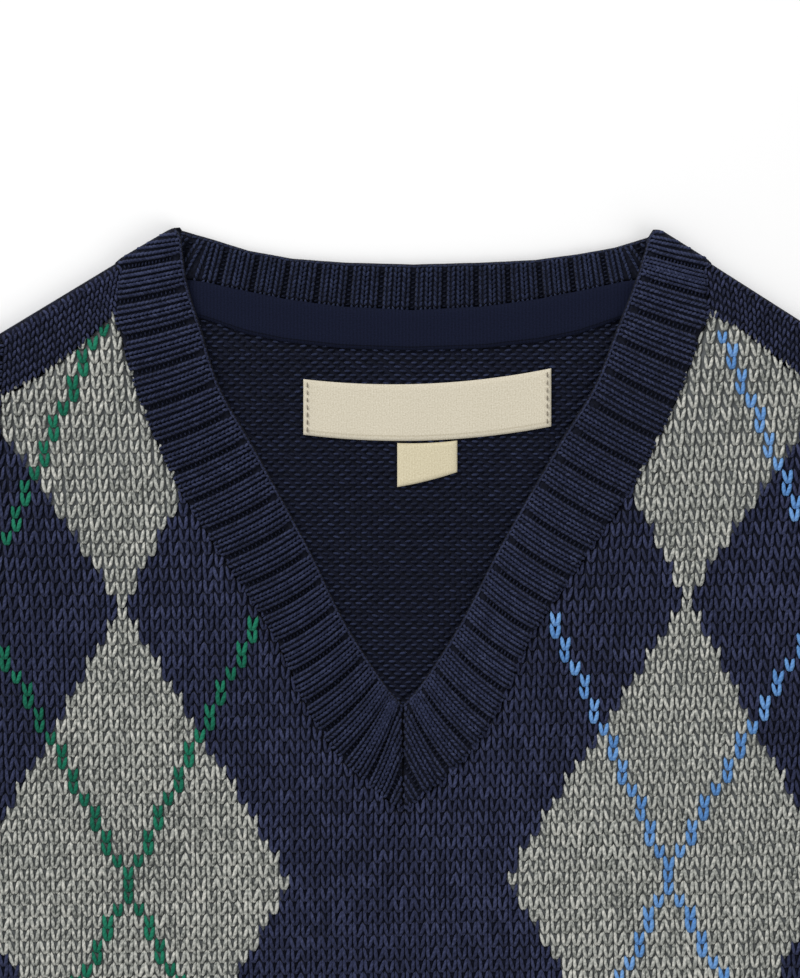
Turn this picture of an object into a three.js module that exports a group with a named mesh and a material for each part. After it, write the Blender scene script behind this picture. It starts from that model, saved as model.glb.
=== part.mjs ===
// A child's knitted V-neck sweater vest, laid flat on its back.
// Millimetres: +X to the right in the view from above, +Y towards the neck, +Z up.
// The origin is the middle of the outline, on the surface that the back panel rests on.
import * as THREE from "three";

// Driving sizes of the garment
const LENGTH = 430;
const HEM_RIB_DEPTH = 48;
const HEM_Y = -LENGTH / 2;
const WAIST_Y = HEM_Y + HEM_RIB_DEPTH;
const SEAM_GAP = 0.3;
const BODY_WALL = 2.6;
const BAND_WALL = 2.4;
const RIB_HEIGHT = 1.6;
const TRIM_WALL = 1.0;
const ARM_BAND_WIDTH = 17;

// Ribs: each groove takes this share of a rib's pitch. On the front neckband, whose ribs
// aren't quite even, a groove reaches this share of the seam to both sides of its middle
const GROOVE_SHARE = 0.32;
const NECK_RIBS = 17;
const NECK_GROOVE_REACH = 0.0087;
const BACK_NECK_RIBS = 15;
const ARM_RIBS = 19;
const HEM_RIBS = 36;

// Heights of the two layers: the back lies on the surface, the front lies on the back and
// rides over the thick seams at the shoulders
const FRONT_LIFT = BODY_WALL + SEAM_GAP;
const SHOULDER_LIFT = BAND_WALL + RIB_HEIGHT + SEAM_GAP;
const RISE_FROM_Y = 140;
const RISE_TO_Y = 174;
const SWELL = 0.5;
const SWELL_WAVES = [{ x: 41, y: 67 }, { x: -90, y: 53 }];

// How far the neck leans to one side as the vest was laid down
const NECK_LEAN = 3.9;
const LEAN_FROM_Y = 90;
const LEAN_SPAN = 125;
const LEAN_POWER = 1.6;

// Where the folds turn: how far out each layer reaches beyond the start of its turn
const FOLD_REACH = 4.0;
const SIDE_REACH = 2.8;
const INNER_REACH = 0.9;
const SHOULDER_WAY = new THREE.Vector2(0.53, 0.848).normalize();

// Half outlines from the shoulder fold down: distance from the centre line, and height
const NECK_SEAM = [
  { half: 91.2, y: 200.7 },
  { half: 92.7, y: 188.1 },
  { half: 89.7, y: 178.4 },
  { half: 85.0, y: 163.8 },
  { half: 78.3, y: 148.0 },
  { half: 68.8, y: 130.0 },
  { half: 45.3, y: 95.0 },
  { half: 37.7, y: 82.5 },
  { half: 30.9, y: 66.6 },
  { half: 19.7, y: 49.1 },
  { half: 0, y: 31.9 },
];
const NECK_RIM = [
  { half: 73.2, y: 211.6 },
  { half: 69.5, y: 197.5 },
  { half: 64.2, y: 182.2 },
  { half: 58.0, y: 164.7 },
  { half: 47.2, y: 146.0 },
  { half: 30.1, y: 114.7 },
  { half: 18.8, y: 92.2 },
  { half: 6.3, y: 72.5 },
  { half: 0, y: 65.3 },
];
const ARMHOLE = [
  { half: 127.1, y: 178.3 },
  { half: 127.6, y: 150 },
  { half: 128.6, y: 115 },
  { half: 132.0, y: 82 },
  { half: 139.5, y: 52 },
  { half: 149.0, y: 30 },
  { half: 158.5, y: 18 },
  { half: 170.0, y: 12 },
];
const SIDE = [
  { half: 170.0, y: 12 },
  { half: 168.5, y: -70 },
  { half: 170.0, y: WAIST_Y },
];

// The rest of the neckline, from the centre line outwards
const BACK_BAND = [
  { rimHalf: 0, rimY: 203.3, seamHalf: 0, seamY: 188.5 },
  { rimHalf: 22, rimY: 203.9, seamHalf: 22.8, seamY: 189.7 },
  { rimHalf: 38, rimY: 205.0, seamHalf: 39.5, seamY: 192.0 },
  { rimHalf: 52, rimY: 207.2, seamHalf: 54, seamY: 194.9 },
  { rimHalf: 63, rimY: 209.6, seamHalf: 66, seamY: 197.5 },
  { rimHalf: 73.2, rimY: 211.6, seamHalf: 91.2, seamY: 200.7 },
];
const TAPE_EDGE = [
  { half: 0, y: 176.2 },
  { half: 22, y: 176.9 },
  { half: 40, y: 178.9 },
  { half: 52, y: 181.4 },
  { half: 64, y: 185.6 },
  { half: 82, y: 191.0 },
];
const HEM_SIDE = [
  { y: HEM_Y, half: 165.5 },
  { y: -188, half: 167.0 },
  { y: WAIST_Y, half: 170.0 },
];

// Forward shoulder seams: the left one was laid a little lower than the right
const FORWARD_SEAM = [
  { half: 92.7, left: 187.6, right: 188.6 },
  { half: 103.0, left: 177.6, right: 184.2 },
  { half: 115.0, left: 169.2, right: 174.8 },
  { half: 127.5, left: 162.4, right: 165.8 },
];

// Where the neckband's grooves start along its seam: the first, the fifth and the last one
const NECK_GROOVES = [
  { groove: 0, left: 0.051, right: 0.04 },
  { groove: 4, left: 0.287, right: 0.28 },
  { groove: NECK_RIBS - 1, left: 0.925, right: 0.903 },
];

// How far along the V each rib of the neckband moves on its way from the seam to the rim
const RIB_SLANT = [
  { at: 0, left: 0.044, right: 0.036 },
  { at: 0.23, left: 0.058, right: 0.041 },
  { at: 0.4, left: 0.076, right: 0.067 },
  { at: 0.55, left: 0.101, right: 0.088 },
  { at: 0.7, left: 0.115, right: 0.107 },
  { at: 0.8, left: 0.115, right: 0.107 },
  { at: 0.86, left: 0.1, right: 0.098 },
  { at: 0.925, left: 0.062, right: 0.068 },
  { at: 1, left: 0, right: 0 },
];

// Height of the ribs and of the grooves across a band, as shares of the rib height, from
// the seam to the bound-off rim
const BAND_PROFILE = [
  { across: 0, rib: 0.3, groove: 0.1 },
  { across: 0.07, rib: 1, groove: 0 },
  { across: 0.84, rib: 1, groove: 0 },
  { across: 0.91, rib: 0.75, groove: 0.6 },
  { across: 1, rib: 0.1, groove: 0.1 },
];

// Woven label and size tab as they lie, slightly askew
const LABEL = {
  left: -31.2,
  right: 46.4,
  leftTop: 167.2,
  rightTop: 170.6,
  leftFoot: 149.8,
  rightFoot: 152.4,
};
const LABEL_BOW = 3.1;
const LABEL_COLUMNS = 10;
const TAB = { left: -1.8, right: 17.0, leftTop: 147.2, rightTop: 148.0, leftFoot: 133.4, rightFoot: 138.1 };
const TAB_COLUMNS = 4;

const mix = (a, b, t) => a + (b - a) * t;
const clamp = (t) => Math.min(1, Math.max(0, t));
const smooth = (t) => clamp(t) ** 2 * (3 - 2 * clamp(t));
const steps = (count) => Array.from({ length: count + 1 }, (_, i) => i / count);

// A column of a table, read by straight lines between its rows
function readTable(table, key, at, column) {
  const after = table.findIndex((row) => row[key] >= at);
  if (after === 0) return table[0][column];
  if (after < 0) return table[table.length - 1][column];
  const [low, high] = [table[after - 1], table[after]];
  return mix(low[column], high[column], (at - low[key]) / (high[key] - low[key]));
}

const lean = (y) => NECK_LEAN * Math.max(0, (y - LEAN_FROM_Y) / LEAN_SPAN) ** LEAN_POWER;

// The height of the front layer's inner face
function frontFloor(p) {
  const rise = smooth((p.y - RISE_FROM_Y) / (RISE_TO_Y - RISE_FROM_Y));
  const waves = SWELL_WAVES.map((wave) => Math.sin(p.x / wave.x + p.y / wave.y));
  const swell = SWELL * (waves[0] * waves[1]) ** 2;
  return mix(FRONT_LIFT + swell, SHOULDER_LIFT, rise);
}

const at = (x, y) => new THREE.Vector2(x, y);
const between = (a, b, t) => at(mix(a.x, b.x, t), mix(a.y, b.y, t));
const raised = (p, z) => new THREE.Vector3(p.x, p.y, z);

// A curve through a half outline: side is -1 on the left and 1 on the right
function outline(table, side) {
  return new THREE.SplineCurve(table.map((row) => at(side * row.half + lean(row.y), row.y)));
}

// A point at a share of a curve's length, moved off the curve away from the centre line
function beside(curve, share, side, offset) {
  const point = curve.getPointAt(clamp(share));
  const tangent = curve.getTangentAt(clamp(share));
  return at(point.x - side * tangent.y * offset, point.y + side * tangent.x * offset);
}

function signedVolume(points, index) {
  const cross = new THREE.Vector3();
  let sum = 0;
  for (let i = 0; i < index.length; i += 3) {
    const [a, b, c] = [points[index[i]], points[index[i + 1]], points[index[i + 2]]];
    sum += a.dot(cross.crossVectors(b, c));
  }
  return sum;
}

// A closed wall. A sheet is a list of rows, and a row a list of pairs of points, outer and
// inner. Equal pairs become one, and each open edge of the sheets gets a narrow face.
function wall(name, material, sheets) {
  const pairs = [];
  const numberOf = new Map();
  const numbered = (pair) => {
    const values = [...pair.outer.toArray(), ...pair.inner.toArray()];
    const key = values.map((value) => Math.round(value * 500)).join();
    if (!numberOf.has(key)) numberOf.set(key, pairs.push(pair) - 1);
    return numberOf.get(key);
  };
  const cells = sheets.flatMap((rows) =>
    rows.slice(1).flatMap((row, i) =>
      row.slice(1).map((pair, j) => [rows[i][j], rows[i][j + 1], pair, row[j]].map(numbered)),
    ),
  );
  const edges = new Set();
  for (const cell of cells) cell.forEach((a, k) => edges.add(a + "," + cell[(k + 1) % 4]));
  const index = [];
  const n = pairs.length;
  for (const [a, b, c, d] of cells) {
    index.push(a, b, c, a, c, d);
    index.push(a + n, c + n, b + n, a + n, d + n, c + n);
  }
  for (const edge of edges) {
    const [a, b] = edge.split(",").map(Number);
    if (!edges.has(b + "," + a)) index.push(b, a, a + n, b, a + n, b + n);
  }
  const points = [...pairs.map((pair) => pair.outer), ...pairs.map((pair) => pair.inner)];
  if (signedVolume(points, index) < 0) index.reverse();
  const geometry = new THREE.BufferGeometry().setFromPoints(points).setIndex(index);
  geometry.computeVertexNormals();
  const mesh = new THREE.Mesh(geometry, material);
  mesh.name = name;
  return mesh;
}

// A pair of the upper layer, and one of the lower layer, whose outer face is underneath
const pairAt = (p, outerZ, innerZ) => ({ outer: raised(p, outerZ), inner: raised(p, innerZ) });
const upperPair = (p, depth) => pairAt(p, frontFloor(p) + depth, frontFloor(p));
const lowerPair = (p, depth) => pairAt(p, 0, depth);

const EDGE_ANGLES = [30, 60, 90].map(THREE.MathUtils.degToRad);

// The edge of a layer that bends to meet the other layer's edge. A share of 0 keeps it flat.
function bentEdge(last, way, reach, share, edgeZ) {
  return EDGE_ANGLES.map((angle) => {
    const out = reach * Math.sin(angle);
    const outer = last.outer.clone();
    const inner = last.inner.clone();
    outer.x += way.x * out;
    outer.y += way.y * out;
    outer.z = mix(outer.z, edgeZ, share * (1 - Math.cos(angle)));
    const innerOut = mix(out, INNER_REACH * Math.sin(angle), share);
    inner.x += way.x * innerOut;
    inner.y += way.y * innerOut;
    return { outer, inner };
  });
}

// A layer that turns right over: from the upper pair to the lower pair through a half turn
function turnOver(upper, lower, way, reach, count) {
  return steps(count).slice(1, -1).map((t) => {
    const share = (1 - Math.cos(Math.PI * t)) / 2;
    const out = reach * Math.sin(Math.PI * t);
    const outer = upper.outer.clone().lerp(lower.outer, share);
    const inner = upper.inner.clone().lerp(lower.inner, share);
    outer.add(new THREE.Vector3(way.x * out, way.y * out, 0));
    inner.add(new THREE.Vector3(way.x, way.y, 0).multiplyScalar(INNER_REACH * Math.sin(Math.PI * t)));
    return { outer, inner };
  });
}

// Places along a band: each groove has an edge on both sides and a floor between them
function ribPlaces(grooves, reach) {
  const places = grooves.flatMap((middle) => [
    { share: middle - reach, groove: false },
    { share: middle, groove: true },
    { share: middle + reach, groove: false },
  ]);
  return [{ share: 0, groove: false }, ...places, { share: 1, groove: false }];
}
const evenRibs = (count) =>
  ribPlaces(steps(count - 1).map((t) => mix(0.5, count - 0.5, t) / count), GROOVE_SHARE / 2 / count);
const neckRibs = (column) =>
  ribPlaces(
    steps(NECK_RIBS - 1).map((t) => readTable(NECK_GROOVES, "groove", t * (NECK_RIBS - 1), column)),
    NECK_GROOVE_REACH,
  );
const bandDepth = (row, place) => BAND_WALL + RIB_HEIGHT * (place.groove ? row.groove : row.rib);

const knit = (colour) => new THREE.MeshStandardMaterial({ color: colour, roughness: 0.95, metalness: 0 });
const bodyKnit = knit(0x232737);
const backKnit = knit(0x1a1e2e);
const bandKnit = knit(0x1e2132);
const tapeCloth = knit(0x191d2d);
const labelCloth = knit(0xd2cab7);
const tabCloth = knit(0xd3c9ad);

// Panels: rows run from the waist up, columns from the centre line to the side
const BODY_ROWS = 6;
const YOKE_ROWS = 18;
const YOKE_CROWDING = 1.35;
const FRONT_COLUMNS = 8;
const BACK_NECK_COLUMNS = 7;
const SHOULDER_COLUMNS = 5;
const WRAP_ROWS = 3;
const TAPE_COLUMNS = 22;
const HEM_BACK_COLUMNS = 12;

// How closely the front panel's rows crowd at both ends of the neck seam
const SEAM_CROWDING = 0.6;

// Steps of a half turn, at the shoulder's fold and at an armhole band's folds
const SHOULDER_TURN_STEPS = 6;
const BAND_TURN_STEPS = 5;

const yokeShares = steps(YOKE_ROWS).slice(1);

// The side seam and the armhole, up to a share of the armhole's length from its top
function sidePath(side, topShare) {
  const seam = outline(SIDE, side);
  const armhole = outline(ARMHOLE, side);
  const body = steps(BODY_ROWS).map((t) => seam.getPointAt(1 - t));
  const yoke = yokeShares.map((t) => armhole.getPointAt(mix(1, topShare, t ** YOKE_CROWDING)));
  return [...body, ...yoke];
}

// The share of the armhole, from its top, where the forward seam meets it
function forwardShare(side) {
  const seamY = FORWARD_SEAM[FORWARD_SEAM.length - 1][side < 0 ? "left" : "right"];
  return (ARMHOLE[0].y - seamY) / outline(ARMHOLE, side).getLength();
}

// How far the forward seam departs from a straight line, at a share of its length
function forwardSag(side, share) {
  const column = side < 0 ? "left" : "right";
  const last = FORWARD_SEAM.length - 1;
  const half = mix(FORWARD_SEAM[0].half, FORWARD_SEAM[last].half, share);
  const straight = mix(FORWARD_SEAM[0][column], FORWARD_SEAM[last][column], share);
  return readTable(FORWARD_SEAM, "half", half, column) - straight;
}

// The share of the neck seam, from the shoulder fold, where the forward seam meets it
const NECK_SEAM_START = 0.065;

// The share of the neck seam that a row of the yoke starts from
const neckShare = (t) => mix(1, NECK_SEAM_START, mix(t, smooth(t), SEAM_CROWDING));

function frontHalf(side) {
  const seam = outline(NECK_SEAM, side);
  const tipY = NECK_SEAM[NECK_SEAM.length - 1].y - 1.5 * SEAM_GAP;
  const middle = [
    ...steps(BODY_ROWS).map((t) => at(0, mix(WAIST_Y + SEAM_GAP, tipY, t))),
    ...yokeShares.map((t) => beside(seam, neckShare(t), side, SEAM_GAP)),
  ];
  const way = at(side, 0);
  return sidePath(side, forwardShare(side)).map((edge, row) => {
    const onYoke = clamp((row - BODY_ROWS) / YOKE_ROWS);
    const start = edge.addScaledVector(way, -SIDE_REACH);
    if (row === 0) start.y += SEAM_GAP;
    const flat = steps(FRONT_COLUMNS).map((u) => {
      const p = between(middle[row], start, u);
      p.y += onYoke ** 3 * forwardSag(side, u) - (onYoke === 1 ? SEAM_GAP / 2 : 0);
      return upperPair(p, BODY_WALL);
    });
    const share = row > BODY_ROWS ? 0 : 1;
    const line = [...flat, ...bentEdge(flat[FRONT_COLUMNS], way, SIDE_REACH, share, FRONT_LIFT)];
    return side < 0 ? line.reverse() : line;
  });
}

// Columns across a shoulder, from the neckband to the armhole, the last three close together
const SHOULDER_FLAT = 0.925;
const SHOULDER_SHARES = [
  ...steps(SHOULDER_COLUMNS).map((t) => t * SHOULDER_FLAT),
  ...EDGE_ANGLES.map((angle) => mix(SHOULDER_FLAT, 1, Math.sin(angle))),
];

// Where a shoulder's turn begins, from the neckband to the armhole
function shoulderStart(side, share) {
  const neck = beside(outline(NECK_SEAM, side), 0, side, SEAM_GAP);
  neck.addScaledVector(at(side * SHOULDER_WAY.x, SHOULDER_WAY.y), -SEAM_GAP);
  return between(neck, outline(ARMHOLE, side).getPointAt(0), share);
}

// The back panel's top edge: the back neck seam, then the start of the shoulder's turn
function backTop(side, column) {
  if (column >= BACK_NECK_COLUMNS) return shoulderStart(side, SHOULDER_SHARES[column - BACK_NECK_COLUMNS]);
  const half = (BACK_BAND[BACK_BAND.length - 1].seamHalf * column) / BACK_NECK_COLUMNS;
  const y = readTable(BACK_BAND, "seamHalf", half, "seamY");
  return at(side * half + lean(y) * (half > 0 ? 1 : 0), y - SEAM_GAP);
}

function backHalf(side) {
  const columns = BACK_NECK_COLUMNS + SHOULDER_COLUMNS;
  const reach = backTop(side, columns).x;
  const shares = steps(columns).map((_, j) => backTop(side, j).x / reach);
  const centreTop = backTop(side, 0);
  const way = at(side, 0);
  const path = sidePath(side, 0);
  return path.map((edge, row) => {
    const onYoke = clamp((row - BODY_ROWS) / YOKE_ROWS);
    const from = at(0, mix(WAIST_Y + SEAM_GAP, centreTop.y, row / (path.length - 1)));
    const start = edge.clone().addScaledVector(way, -SIDE_REACH);
    if (row === 0) start.y += SEAM_GAP;
    const flat = shares.map((u, j) => {
      const p = between(from, start, u);
      p.y += onYoke ** 3 * (backTop(side, j).y - mix(centreTop.y, backTop(side, columns).y, u));
      return lowerPair(p, BODY_WALL);
    });
    const share = row > BODY_ROWS ? 0 : 1;
    const bent = bentEdge(flat[columns], way, SIDE_REACH, share, BODY_WALL);
    const top = steps(columns + EDGE_ANGLES.length).map((_, j) => lowerPair(backTop(side, j), BODY_WALL));
    const line = onYoke === 1 ? top : [...flat, ...bent];
    return side < 0 ? line.reverse() : line;
  });
}

// The back panel goes on over the shoulder fold and down to the forward seam
function shoulderWrap(side) {
  const seam = outline(NECK_SEAM, side);
  const armhole = outline(ARMHOLE, side);
  const way = at(side * SHOULDER_WAY.x, SHOULDER_WAY.y);
  const lines = SHOULDER_SHARES.map((share) => {
    const start = shoulderStart(side, share);
    const top = steps(WRAP_ROWS).map((t) => {
      const neck = beside(seam, NECK_SEAM_START * t, side, SEAM_GAP);
      const arm = armhole.getPointAt(forwardShare(side) * t);
      const p = t === 0 ? start : between(neck, arm, share);
      p.y += t * forwardSag(side, share) + (t === 1 ? SEAM_GAP / 2 : 0);
      return upperPair(p, BODY_WALL);
    });
    const lower = lowerPair(start, BODY_WALL);
    const turn = turnOver(top[0], lower, way, (top[0].outer.z - lower.outer.z) / 2, SHOULDER_TURN_STEPS);
    return [lower, ...turn.reverse(), ...top];
  });
  const rows = lines[0].map((_, row) => lines.map((line) => line[row]));
  return side < 0 ? rows.map((row) => row.reverse()) : rows;
}

function frontNeckband(side) {
  const seam = outline(NECK_SEAM, side);
  const rim = outline(NECK_RIM, side);
  const way = at(side * SHOULDER_WAY.x, SHOULDER_WAY.y);
  const column = side < 0 ? "left" : "right";
  const rows = BAND_PROFILE.map((row) => {
    const line = neckRibs(column).map((place) => {
      const slanted = place.share + row.across * readTable(RIB_SLANT, "at", place.share, column);
      const share = place.share === 0 ? 0 : slanted;
      const p = between(seam.getPointAt(clamp(share)), rim.getPointAt(clamp(share)), row.across);
      p.x = side * Math.max(SEAM_GAP / 2, side * p.x);
      return upperPair(p, bandDepth(row, place));
    });
    const fold = bentEdge(line[0], way, FOLD_REACH, 1, SHOULDER_LIFT);
    return [...fold.reverse(), ...line];
  });
  return rows;
}

// The back neckband lies on the surface, and its ribs show on its inner face
function backNeckband() {
  const last = BACK_BAND[BACK_BAND.length - 1];
  return BAND_PROFILE.map((row) => {
    const line = evenRibs(BACK_NECK_RIBS).map((place) => {
      const rimHalf = mix(-last.rimHalf, last.rimHalf, place.share);
      const read = (column) => readTable(BACK_BAND, "rimHalf", Math.abs(rimHalf), column);
      const seam = at(Math.sign(rimHalf) * read("seamHalf") + lean(read("seamY")), read("seamY"));
      const rim = at(rimHalf + lean(read("rimY")), read("rimY"));
      return lowerPair(between(seam, rim, row.across), bandDepth(row, place));
    });
    const edgeZ = SHOULDER_LIFT - SEAM_GAP;
    const bends = [-1, 1].map((side) => {
      const way = at(side * SHOULDER_WAY.x, SHOULDER_WAY.y);
      return bentEdge(line[side < 0 ? 0 : line.length - 1], way, FOLD_REACH, 1, edgeZ);
    });
    return [...bends[0].reverse(), ...line, ...bends[1]];
  });
}

// A twill tape covers the back neck seam on the inside
function neckTape() {
  const reach = TAPE_EDGE[TAPE_EDGE.length - 1].half;
  return [0, 0.5, 1].map((across) =>
    steps(TAPE_COLUMNS).map((t) => {
      const x = mix(-reach, reach, t);
      const top = readTable(BACK_BAND, "seamHalf", Math.abs(x), "seamY") - 2 * SEAM_GAP;
      const foot = readTable(TAPE_EDGE, "half", Math.abs(x), "y");
      const p = at(x + lean(top), mix(foot, top, across));
      return { outer: raised(p, FRONT_LIFT + TRIM_WALL), inner: raised(p, FRONT_LIFT) };
    }),
  );
}

// A flat piece on the back panel with four corners, bowed down in the middle
function patch(corners, bow, columns) {
  return [0, 0.5, 1].map((across) =>
    steps(columns).map((t) => {
      const foot = mix(corners.leftFoot, corners.rightFoot, t);
      const top = mix(corners.leftTop, corners.rightTop, t);
      const p = at(mix(corners.left, corners.right, t), mix(foot, top, across));
      p.y -= bow * 4 * t * (1 - t);
      return { outer: raised(p, FRONT_LIFT + TRIM_WALL), inner: raised(p, FRONT_LIFT) };
    }),
  );
}

// An armhole band is one ribbed ring, folded at the shoulder and under the arm
const ARM_BACK_COLUMNS = 20;
const SHOULDER_SHARE = 0.12;
const UNDERARM_UPRIGHT = 0.5;
function armholeBand(side) {
  const seam = outline(ARMHOLE, side);
  const shoulderWay = at(side * SHOULDER_WAY.x, SHOULDER_WAY.y);
  const shoulderLine = at(side * SHOULDER_WAY.y, -SHOULDER_WAY.x);
  const under = 1 - (SIDE_REACH + SEAM_GAP) / seam.getLength();
  const sideWay = seam.getTangentAt(under);
  const place = (share, across) => {
    const from = beside(seam, share, side, SEAM_GAP);
    const way = beside(seam, share, side, 1).sub(seam.getPointAt(share));
    way.lerp(shoulderLine, (1 - clamp(share / SHOULDER_SHARE)) ** 2);
    way.lerp(at(0, 1), UNDERARM_UPRIGHT * smooth((share - 0.5) / 0.5));
    return from.addScaledVector(way.normalize(), ARM_BAND_WIDTH * across);
  };
  return BAND_PROFILE.map((row) => {
    const front = evenRibs(ARM_RIBS).map((rib) =>
      upperPair(place(under * (1 - rib.share), row.across), bandDepth(row, rib)),
    );
    const back = steps(ARM_BACK_COLUMNS).map((t) => lowerPair(place(under * t, row.across), BAND_WALL));
    const shoulder = turnOver(front[front.length - 1], back[0], shoulderWay, FOLD_REACH, BAND_TURN_STEPS);
    const arm = turnOver(front[0], back[back.length - 1], sideWay, SIDE_REACH, BAND_TURN_STEPS);
    return [...front, ...shoulder, ...back, ...arm.reverse(), front[0]];
  });
}

// The hem: ribbed in front, plain underneath
function hem(places, hemPair, edgeZ) {
  return [...BAND_PROFILE].reverse().map((row) => {
    const y = mix(WAIST_Y, HEM_Y, row.across);
    const half = readTable(HEM_SIDE, "y", y, "half") - SIDE_REACH;
    const line = places.map((place) => hemPair(at(mix(-half, half, place.share), y), row, place));
    const left = bentEdge(line[0], at(-1, 0), SIDE_REACH, 1, edgeZ);
    const right = bentEdge(line[line.length - 1], at(1, 0), SIDE_REACH, 1, edgeZ);
    return [...left.reverse(), ...line, ...right];
  });
}
const frontHemPair = (p, row, place) => upperPair(p, bandDepth(row, place));
const backHemPair = (p) => lowerPair(p, BODY_WALL);
const plainPlaces = (count) => steps(count).map((share) => ({ share, groove: false }));

const group = new THREE.Group();
group.name = "sweater_vest";
group.add(wall("front_panel", bodyKnit, [frontHalf(-1), frontHalf(1)]));
group.add(wall("back_panel", backKnit, [backHalf(-1), backHalf(1), shoulderWrap(-1), shoulderWrap(1)]));
group.add(wall("neckband_front_left", bandKnit, [frontNeckband(-1)]));
group.add(wall("neckband_front_right", bandKnit, [frontNeckband(1)]));
group.add(wall("neckband_back", bandKnit, [backNeckband()]));
group.add(wall("neck_tape", tapeCloth, [neckTape()]));
group.add(wall("label", labelCloth, [patch(LABEL, LABEL_BOW, LABEL_COLUMNS)]));
group.add(wall("size_tab", tabCloth, [patch(TAB, 0, TAB_COLUMNS)]));
group.add(wall("armhole_band_left", bandKnit, [armholeBand(-1)]));
group.add(wall("armhole_band_right", bandKnit, [armholeBand(1)]));
group.add(wall("hem_rib_front", bandKnit, [hem(evenRibs(HEM_RIBS), frontHemPair, FRONT_LIFT)]));
group.add(wall("hem_rib_back", bandKnit, [hem(plainPlaces(HEM_BACK_COLUMNS), backHemPair, BODY_WALL)]));

export default group;
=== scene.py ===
# %% [markdown]
# A child's V-neck sweater vest, laid flat on its back and seen from straight above.
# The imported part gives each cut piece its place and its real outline. This script puts
# knitted loops, rib relief, woven trim and soft creases on those pieces. Lengths are held
# in millimetres here and turned to metres only when a mesh is made.

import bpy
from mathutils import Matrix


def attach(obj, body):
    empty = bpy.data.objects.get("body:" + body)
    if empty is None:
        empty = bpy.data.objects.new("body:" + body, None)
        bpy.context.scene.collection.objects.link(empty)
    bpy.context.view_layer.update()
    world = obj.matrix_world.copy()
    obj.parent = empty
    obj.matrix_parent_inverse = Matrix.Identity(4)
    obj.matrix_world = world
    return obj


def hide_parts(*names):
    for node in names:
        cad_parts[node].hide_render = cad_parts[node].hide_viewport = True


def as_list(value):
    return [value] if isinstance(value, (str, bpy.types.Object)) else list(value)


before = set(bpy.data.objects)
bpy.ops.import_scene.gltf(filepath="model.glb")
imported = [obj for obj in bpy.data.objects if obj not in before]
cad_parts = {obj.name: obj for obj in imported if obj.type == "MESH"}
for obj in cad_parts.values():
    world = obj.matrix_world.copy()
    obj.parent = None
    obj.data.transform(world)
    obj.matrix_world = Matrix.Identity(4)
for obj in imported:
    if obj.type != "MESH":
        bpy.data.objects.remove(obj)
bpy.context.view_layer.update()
print(len(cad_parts), "packed pieces")

# %% Libraries and units
import math

import bmesh
import bpy
import numpy as np
from mathutils import kdtree

MM = 0.001
BODY = "root"

# %% [markdown]
# The camera comes first. The photo looks straight down through a long lens, so the vest
# keeps its flat outline. The frame shows 250 by 305.6 mm of it: the neck, both shoulders
# and the upper half of the front. The rest of the vest goes on below the frame.

# %% Camera
VIEW_HEIGHT = 305.6
VIEW_CENTRE = (-0.94, 132.8)
VIEW_PLANE = 6.0
CAMERA_DISTANCE = 1100.0
SENSOR = 36.0

camera_data = bpy.data.cameras.new("view_from_above")
camera_data.sensor_width = SENSOR
camera_data.lens = SENSOR * CAMERA_DISTANCE / VIEW_HEIGHT
camera = bpy.data.objects.new("view_from_above", camera_data)
camera.location = (VIEW_CENTRE[0] * MM, VIEW_CENTRE[1] * MM, (VIEW_PLANE + CAMERA_DISTANCE) * MM)
bpy.context.collection.objects.link(camera)
bpy.context.scene.camera = camera
print("lens", round(camera_data.lens, 1), "mm")

# %% [markdown]
# Colours are named by the sRGB hex value that the eye sees, and Blender mixes light in
# linear values, so one function turns the first into the second.
# A second small function adds a node of any kind, with its settings and its links, for
# materials and for Geometry Nodes alike.

# %% Colours and nodes
def linear(hex_colour):
    """An sRGB hex value as linear red, green, blue and an alpha of one."""
    parts = [int(hex_colour[i : i + 2], 16) / 255 for i in (0, 2, 4)]
    return [c / 12.92 if c <= 0.04045 else ((c + 0.055) / 1.055) ** 2.4 for c in parts] + [1.0]


def add(tree, kind, settings=None, links=None):
    """Adds a node. Settings fill its properties or sockets, links come from a socket or a node."""
    made = tree.nodes.new(kind)
    for key, value in (settings or {}).items():
        if isinstance(key, str) and hasattr(made, key):
            setattr(made, key, value)
        else:
            made.inputs[key].default_value = value
    for key, source in (links or {}).items():
        socket = source.outputs[0] if isinstance(source, bpy.types.Node) else source
        tree.links.new(socket, made.inputs[key])
    return made


print("mid grey 808080 is", round(linear("808080")[0], 3), "in linear light")

# %% [markdown]
# The outlines of the vest, as half tables from the shoulder fold down: the distance from
# the centre line, and the height. A smooth curve runs through each, and the neck leans a
# little to one side, as it was laid down.

# %% Sizes of the vest
LENGTH = 430.0
HEM_RIB_DEPTH = 48.0
HEM_Y = -LENGTH / 2
WAIST_Y = HEM_Y + HEM_RIB_DEPTH
SEAM_GAP = 0.3
BODY_WALL = 2.6
BAND_WALL = 2.4
RIB_HEIGHT = 1.6
TRIM_WALL = 1.0
ARM_BAND_WIDTH = 17.0

# How high the front's inner face lies over the table, lower down and at the shoulders
FRONT_LIFT = BODY_WALL + SEAM_GAP
SHOULDER_LIFT = BAND_WALL + RIB_HEIGHT + SEAM_GAP
RISE_FROM_Y, RISE_TO_Y = 140.0, 174.0
SWELL = 0.5
SWELL_WAVES = [(41.0, 67.0), (-90.0, 53.0)]

# From this height upwards the neck leans aside, more and more
NECK_LEAN = 3.9
LEAN_FROM_Y, LEAN_SPAN, LEAN_POWER = 90.0, 125.0, 1.6

# How far the cloth reaches past the line where it folds, and the way out of a shoulder fold
FOLD_REACH = 4.0
SIDE_REACH = 2.8
SHOULDER_WAY = np.array([0.53, 0.848])
NECK_SEAM_START = 0.065

# The share of that reach which a neckband lacks at its rim, on the left and on the right
FRONT_CORNER = {-1: 0.12, 1: 0.3}
BACK_CORNER = (0.25, 0.3)
BACK_TAPER = (0.52, 0.06)

# The share that it lacks at its seam, and the part of its width that each corner takes
FOLD_TUCK = 0.13
CORNER_SHARE = 0.15

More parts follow.
